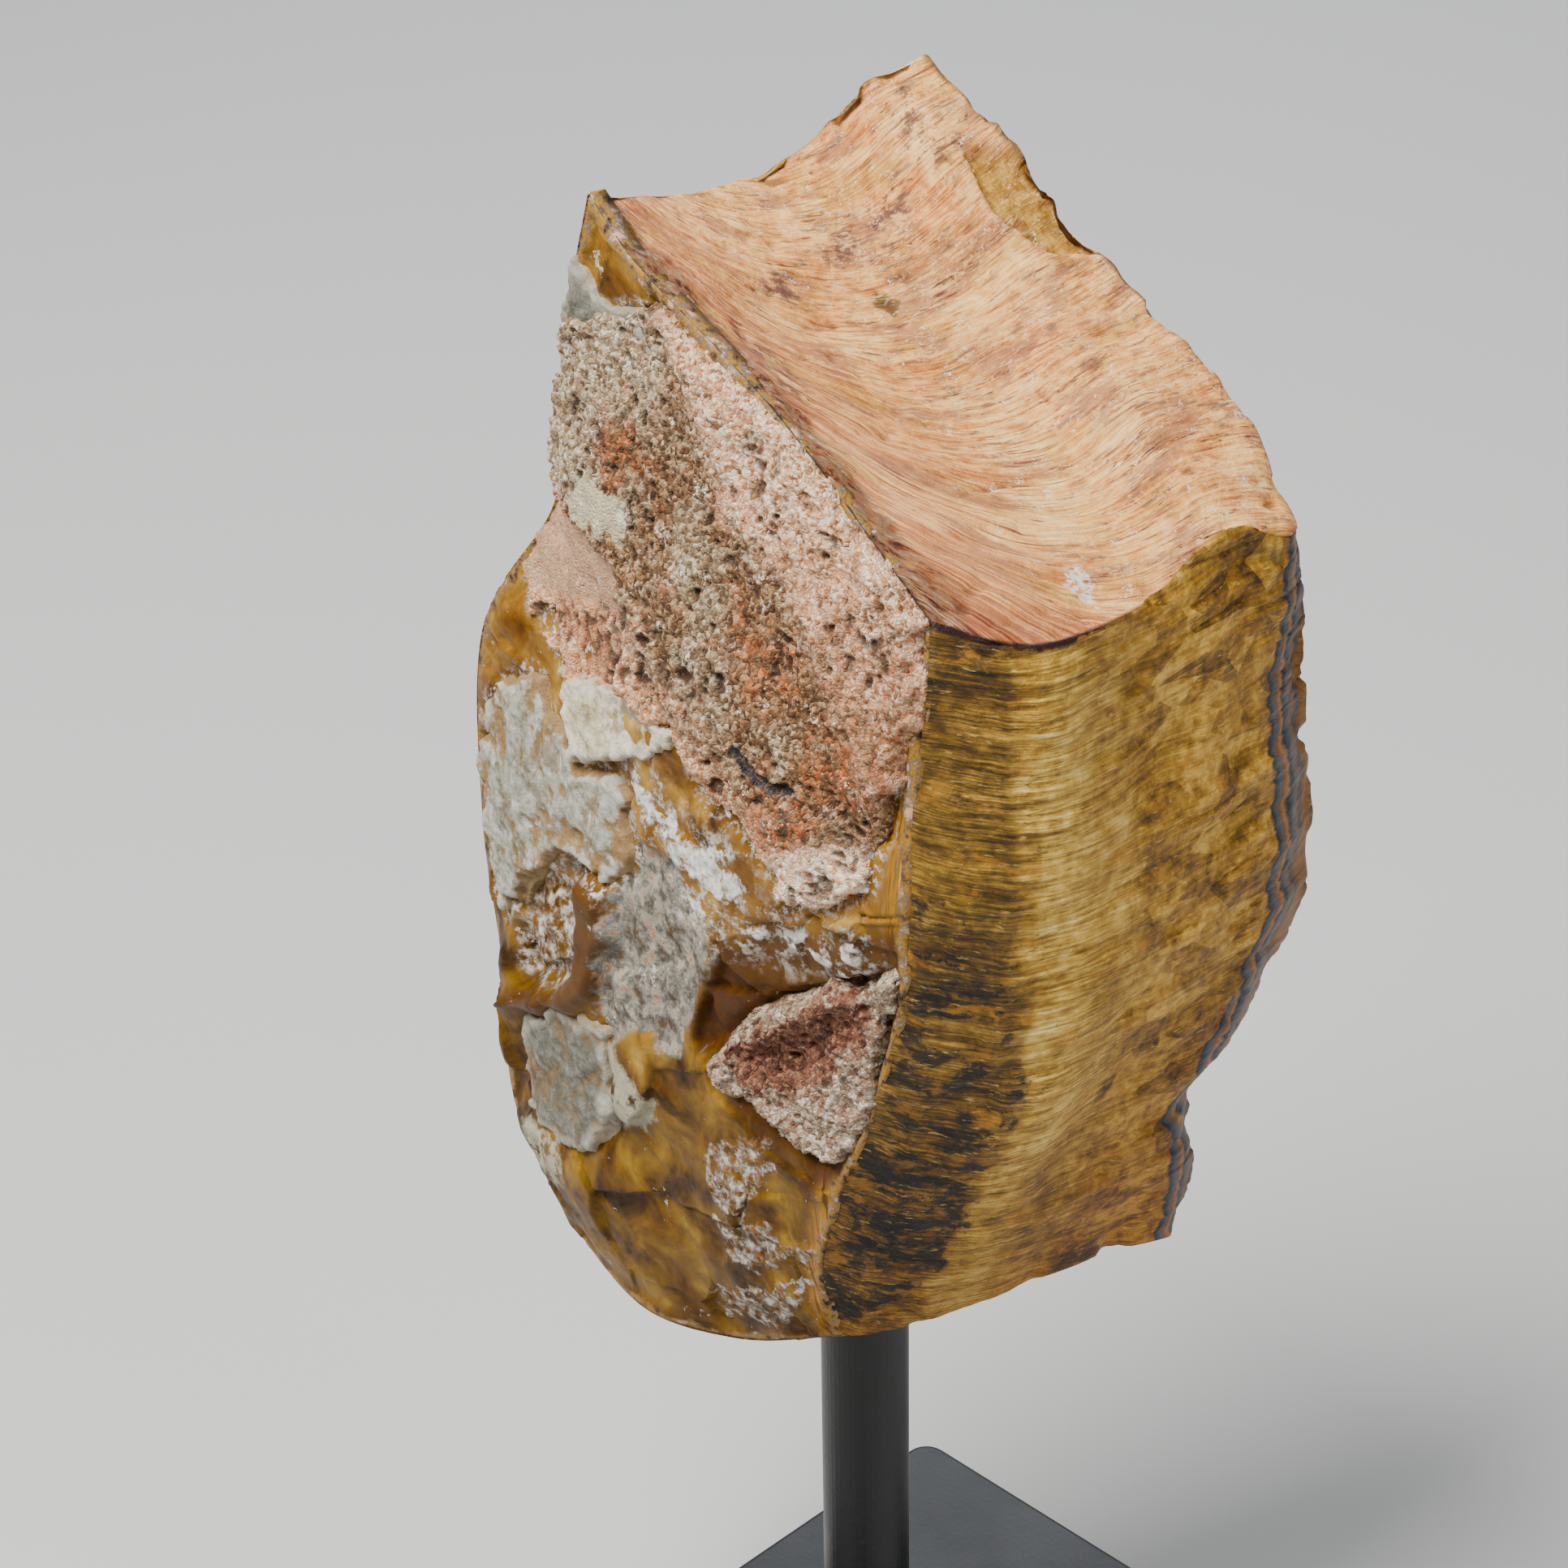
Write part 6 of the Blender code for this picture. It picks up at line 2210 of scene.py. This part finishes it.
@dataclass
class Stand:
    """The black rod and the flat plate that carry the stone."""

    rod_finish: SatinBlackFinish = SatinBlackFinish("black_satin_rod")
    plate_finish: SatinBlackFinish = SatinBlackFinish("black_satin_plate", paint=(0.009, 0.01, 0.012))

    def dress(self, effects: Effects) -> None:
        """Gives the rod and the plate their finish.

        Args:
            effects: The shared effects.
        """
        for node, finish in (("rod", self.rod_finish), ("base_plate", self.plate_finish)):
            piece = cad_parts[node]
            piece.data.materials.clear()
            piece.data.materials.append(finish.material(effects))


@dataclass
class Studio:
    """The pale floor, the soft lights and the camera."""

    floor_size: float = 6.0
    floor_colour: Colour = (0.55, 0.55, 0.54)
    sky: Colour = (0.86, 0.92, 1.0)
    sky_strength: float = 0.2
    camera_place: Point = (-0.1933, -0.1893, 0.2723)
    heading: float = math.radians(45.75)
    pitch: float = math.radians(30.0)
    roll: float = math.radians(1.1)
    lens: float = 86.46
    sensor: float = 36.0
    lights_aim: Point = (0, 0, 0.11)

    def build(self) -> None:
        """Builds the studio."""
        self.build_floor()
        self.build_world()
        self.add_light("key_light", (-0.4, 0.05, 0.8), 0.4, 15.6, (1.0, 0.98, 0.96))
        self.add_light("side_light", (0.15, -0.8, 0.5), 0.5, 3.6, (1.0, 0.97, 0.93))
        self.add_light("rim_light", (0.6, 0.5, 0.6), 0.5, 3.5, (0.92, 0.96, 1.0))
        self.add_camera()

    def build_floor(self) -> None:
        """Lays the pale floor."""
        half = self.floor_size / 2
        mesh = bpy.data.meshes.new("floor")
        corners = [(-half, -half, 0), (half, -half, 0), (half, half, 0), (-half, half, 0)]
        mesh.from_pydata(corners, [], [(0, 1, 2, 3)])
        floor = bpy.data.objects.new("floor", mesh)
        bpy.context.scene.collection.objects.link(floor)
        material = bpy.data.materials.new("pale_floor")
        material.use_nodes = True
        shader = material.node_tree.nodes["Principled BSDF"]
        shader.inputs["Base Color"].default_value = (*self.floor_colour, 1.0)
        shader.inputs["Roughness"].default_value = 0.8
        mesh.materials.append(material)

    def build_world(self) -> None:
        """Fills the room with soft light."""
        world = bpy.data.worlds.new("studio")
        world.use_nodes = True
        background = world.node_tree.nodes["Background"]
        background.inputs["Color"].default_value = (*self.sky, 1.0)
        background.inputs["Strength"].default_value = self.sky_strength
        bpy.context.scene.world = world

    def add_light(self, name: str, place: Point, size: float, power: float, colour: Colour) -> None:
        """Hangs a square soft light aimed at the stone.

        Args:
            name: The light's name.
            place: Where it hangs.
            size: Its side.
            power: Its power in watts.
            colour: Its colour.
        """
        data = bpy.data.lights.new(name, "AREA")
        data.size = size
        data.energy = power
        data.color = colour
        lamp = bpy.data.objects.new(name, data)
        lamp.location = place
        aim = Vector(self.lights_aim) - Vector(place)
        lamp.rotation_euler = aim.to_track_quat("-Z", "Y").to_euler()
        bpy.context.scene.collection.objects.link(lamp)

    def add_camera(self) -> None:
        """Sets the camera."""
        data = bpy.data.cameras.new("camera")
        data.lens = self.lens
        data.sensor_width = self.sensor
        camera = bpy.data.objects.new("camera", data)
        cos, sin = math.cos(self.heading), math.sin(self.heading)
        forward = Vector((cos * math.cos(self.pitch), sin * math.cos(self.pitch), -math.sin(self.pitch)))
        level = Vector((sin, -cos, 0))
        upright = level.cross(forward)
        right = level * math.cos(self.roll) - upright * math.sin(self.roll)
        up = upright * math.cos(self.roll) + level * math.sin(self.roll)
        turn = Matrix((right, up, -forward)).transposed()
        camera.matrix_world = Matrix.Translation(self.camera_place) @ turn.to_4x4()
        bpy.context.scene.collection.objects.link(camera)
        bpy.context.scene.camera = camera


def main() -> None:
    """Builds and dresses every piece."""
    logging.basicConfig(level=logging.INFO, format="%(name)s: %(message)s")
    effects = Effects()
    crust = CrustFinish().material(effects)
    chalk = ChalkFinish().material(effects)
    # Darker grey chalk: painted shade on the low chalk, and the tip chalk's own grey colour
    shaded_grey = ChalkFinish(
        name="shaded_grey_chalk",
        chalk=((0.32, 84, 78, 60), (0.42, 112, 108, 94), (0.52, 136, 134, 122), (0.66, 172, 170, 160)),
        stain=pigment(112, 102, 78),
        wear=0.35,
    ).material(effects)
    cream = ChalkFinish(
        name="cream_chalk",
        chalk=((0.3, 176, 156, 116), (0.42, 208, 196, 162), (0.52, 228, 221, 200), (0.66, 246, 243, 234)),
        wear=0.4,
    ).material(effects)
    builds = (
        (GoldenBody(), GoldenFinish().material(effects)),
        (JasperWall(), JasperFinish().material(effects)),
        (BigCrust(), crust),
        (SmallCrust(), HollowCrustFinish().material(effects)),
        (Chalk(), chalk),
        (Chalk(name="low_chalk", outlines=(LOW_CHALK,), rise=0.4, seed=161), shaded_grey),
        (Chalk(name="cream_lumps", outlines=(CREAM_LUMPS,), rise=0.6, seed=181), cream),
        (Chalk(name="tip_chalk", outlines=(TIP_CHALK,), rise=0.3, seed=201), shaded_grey),
    )
    for part, finish in builds:
        piece = part.build(finish)
        log.info("%s: %d faces", piece.name, len(piece.data.polygons))
    Stand().dress(effects)
    log.info("stand: rod and base_plate dressed")
    Studio().build()
    log.info("studio: floor, lights and camera")


if __name__ == "__main__":
    main()
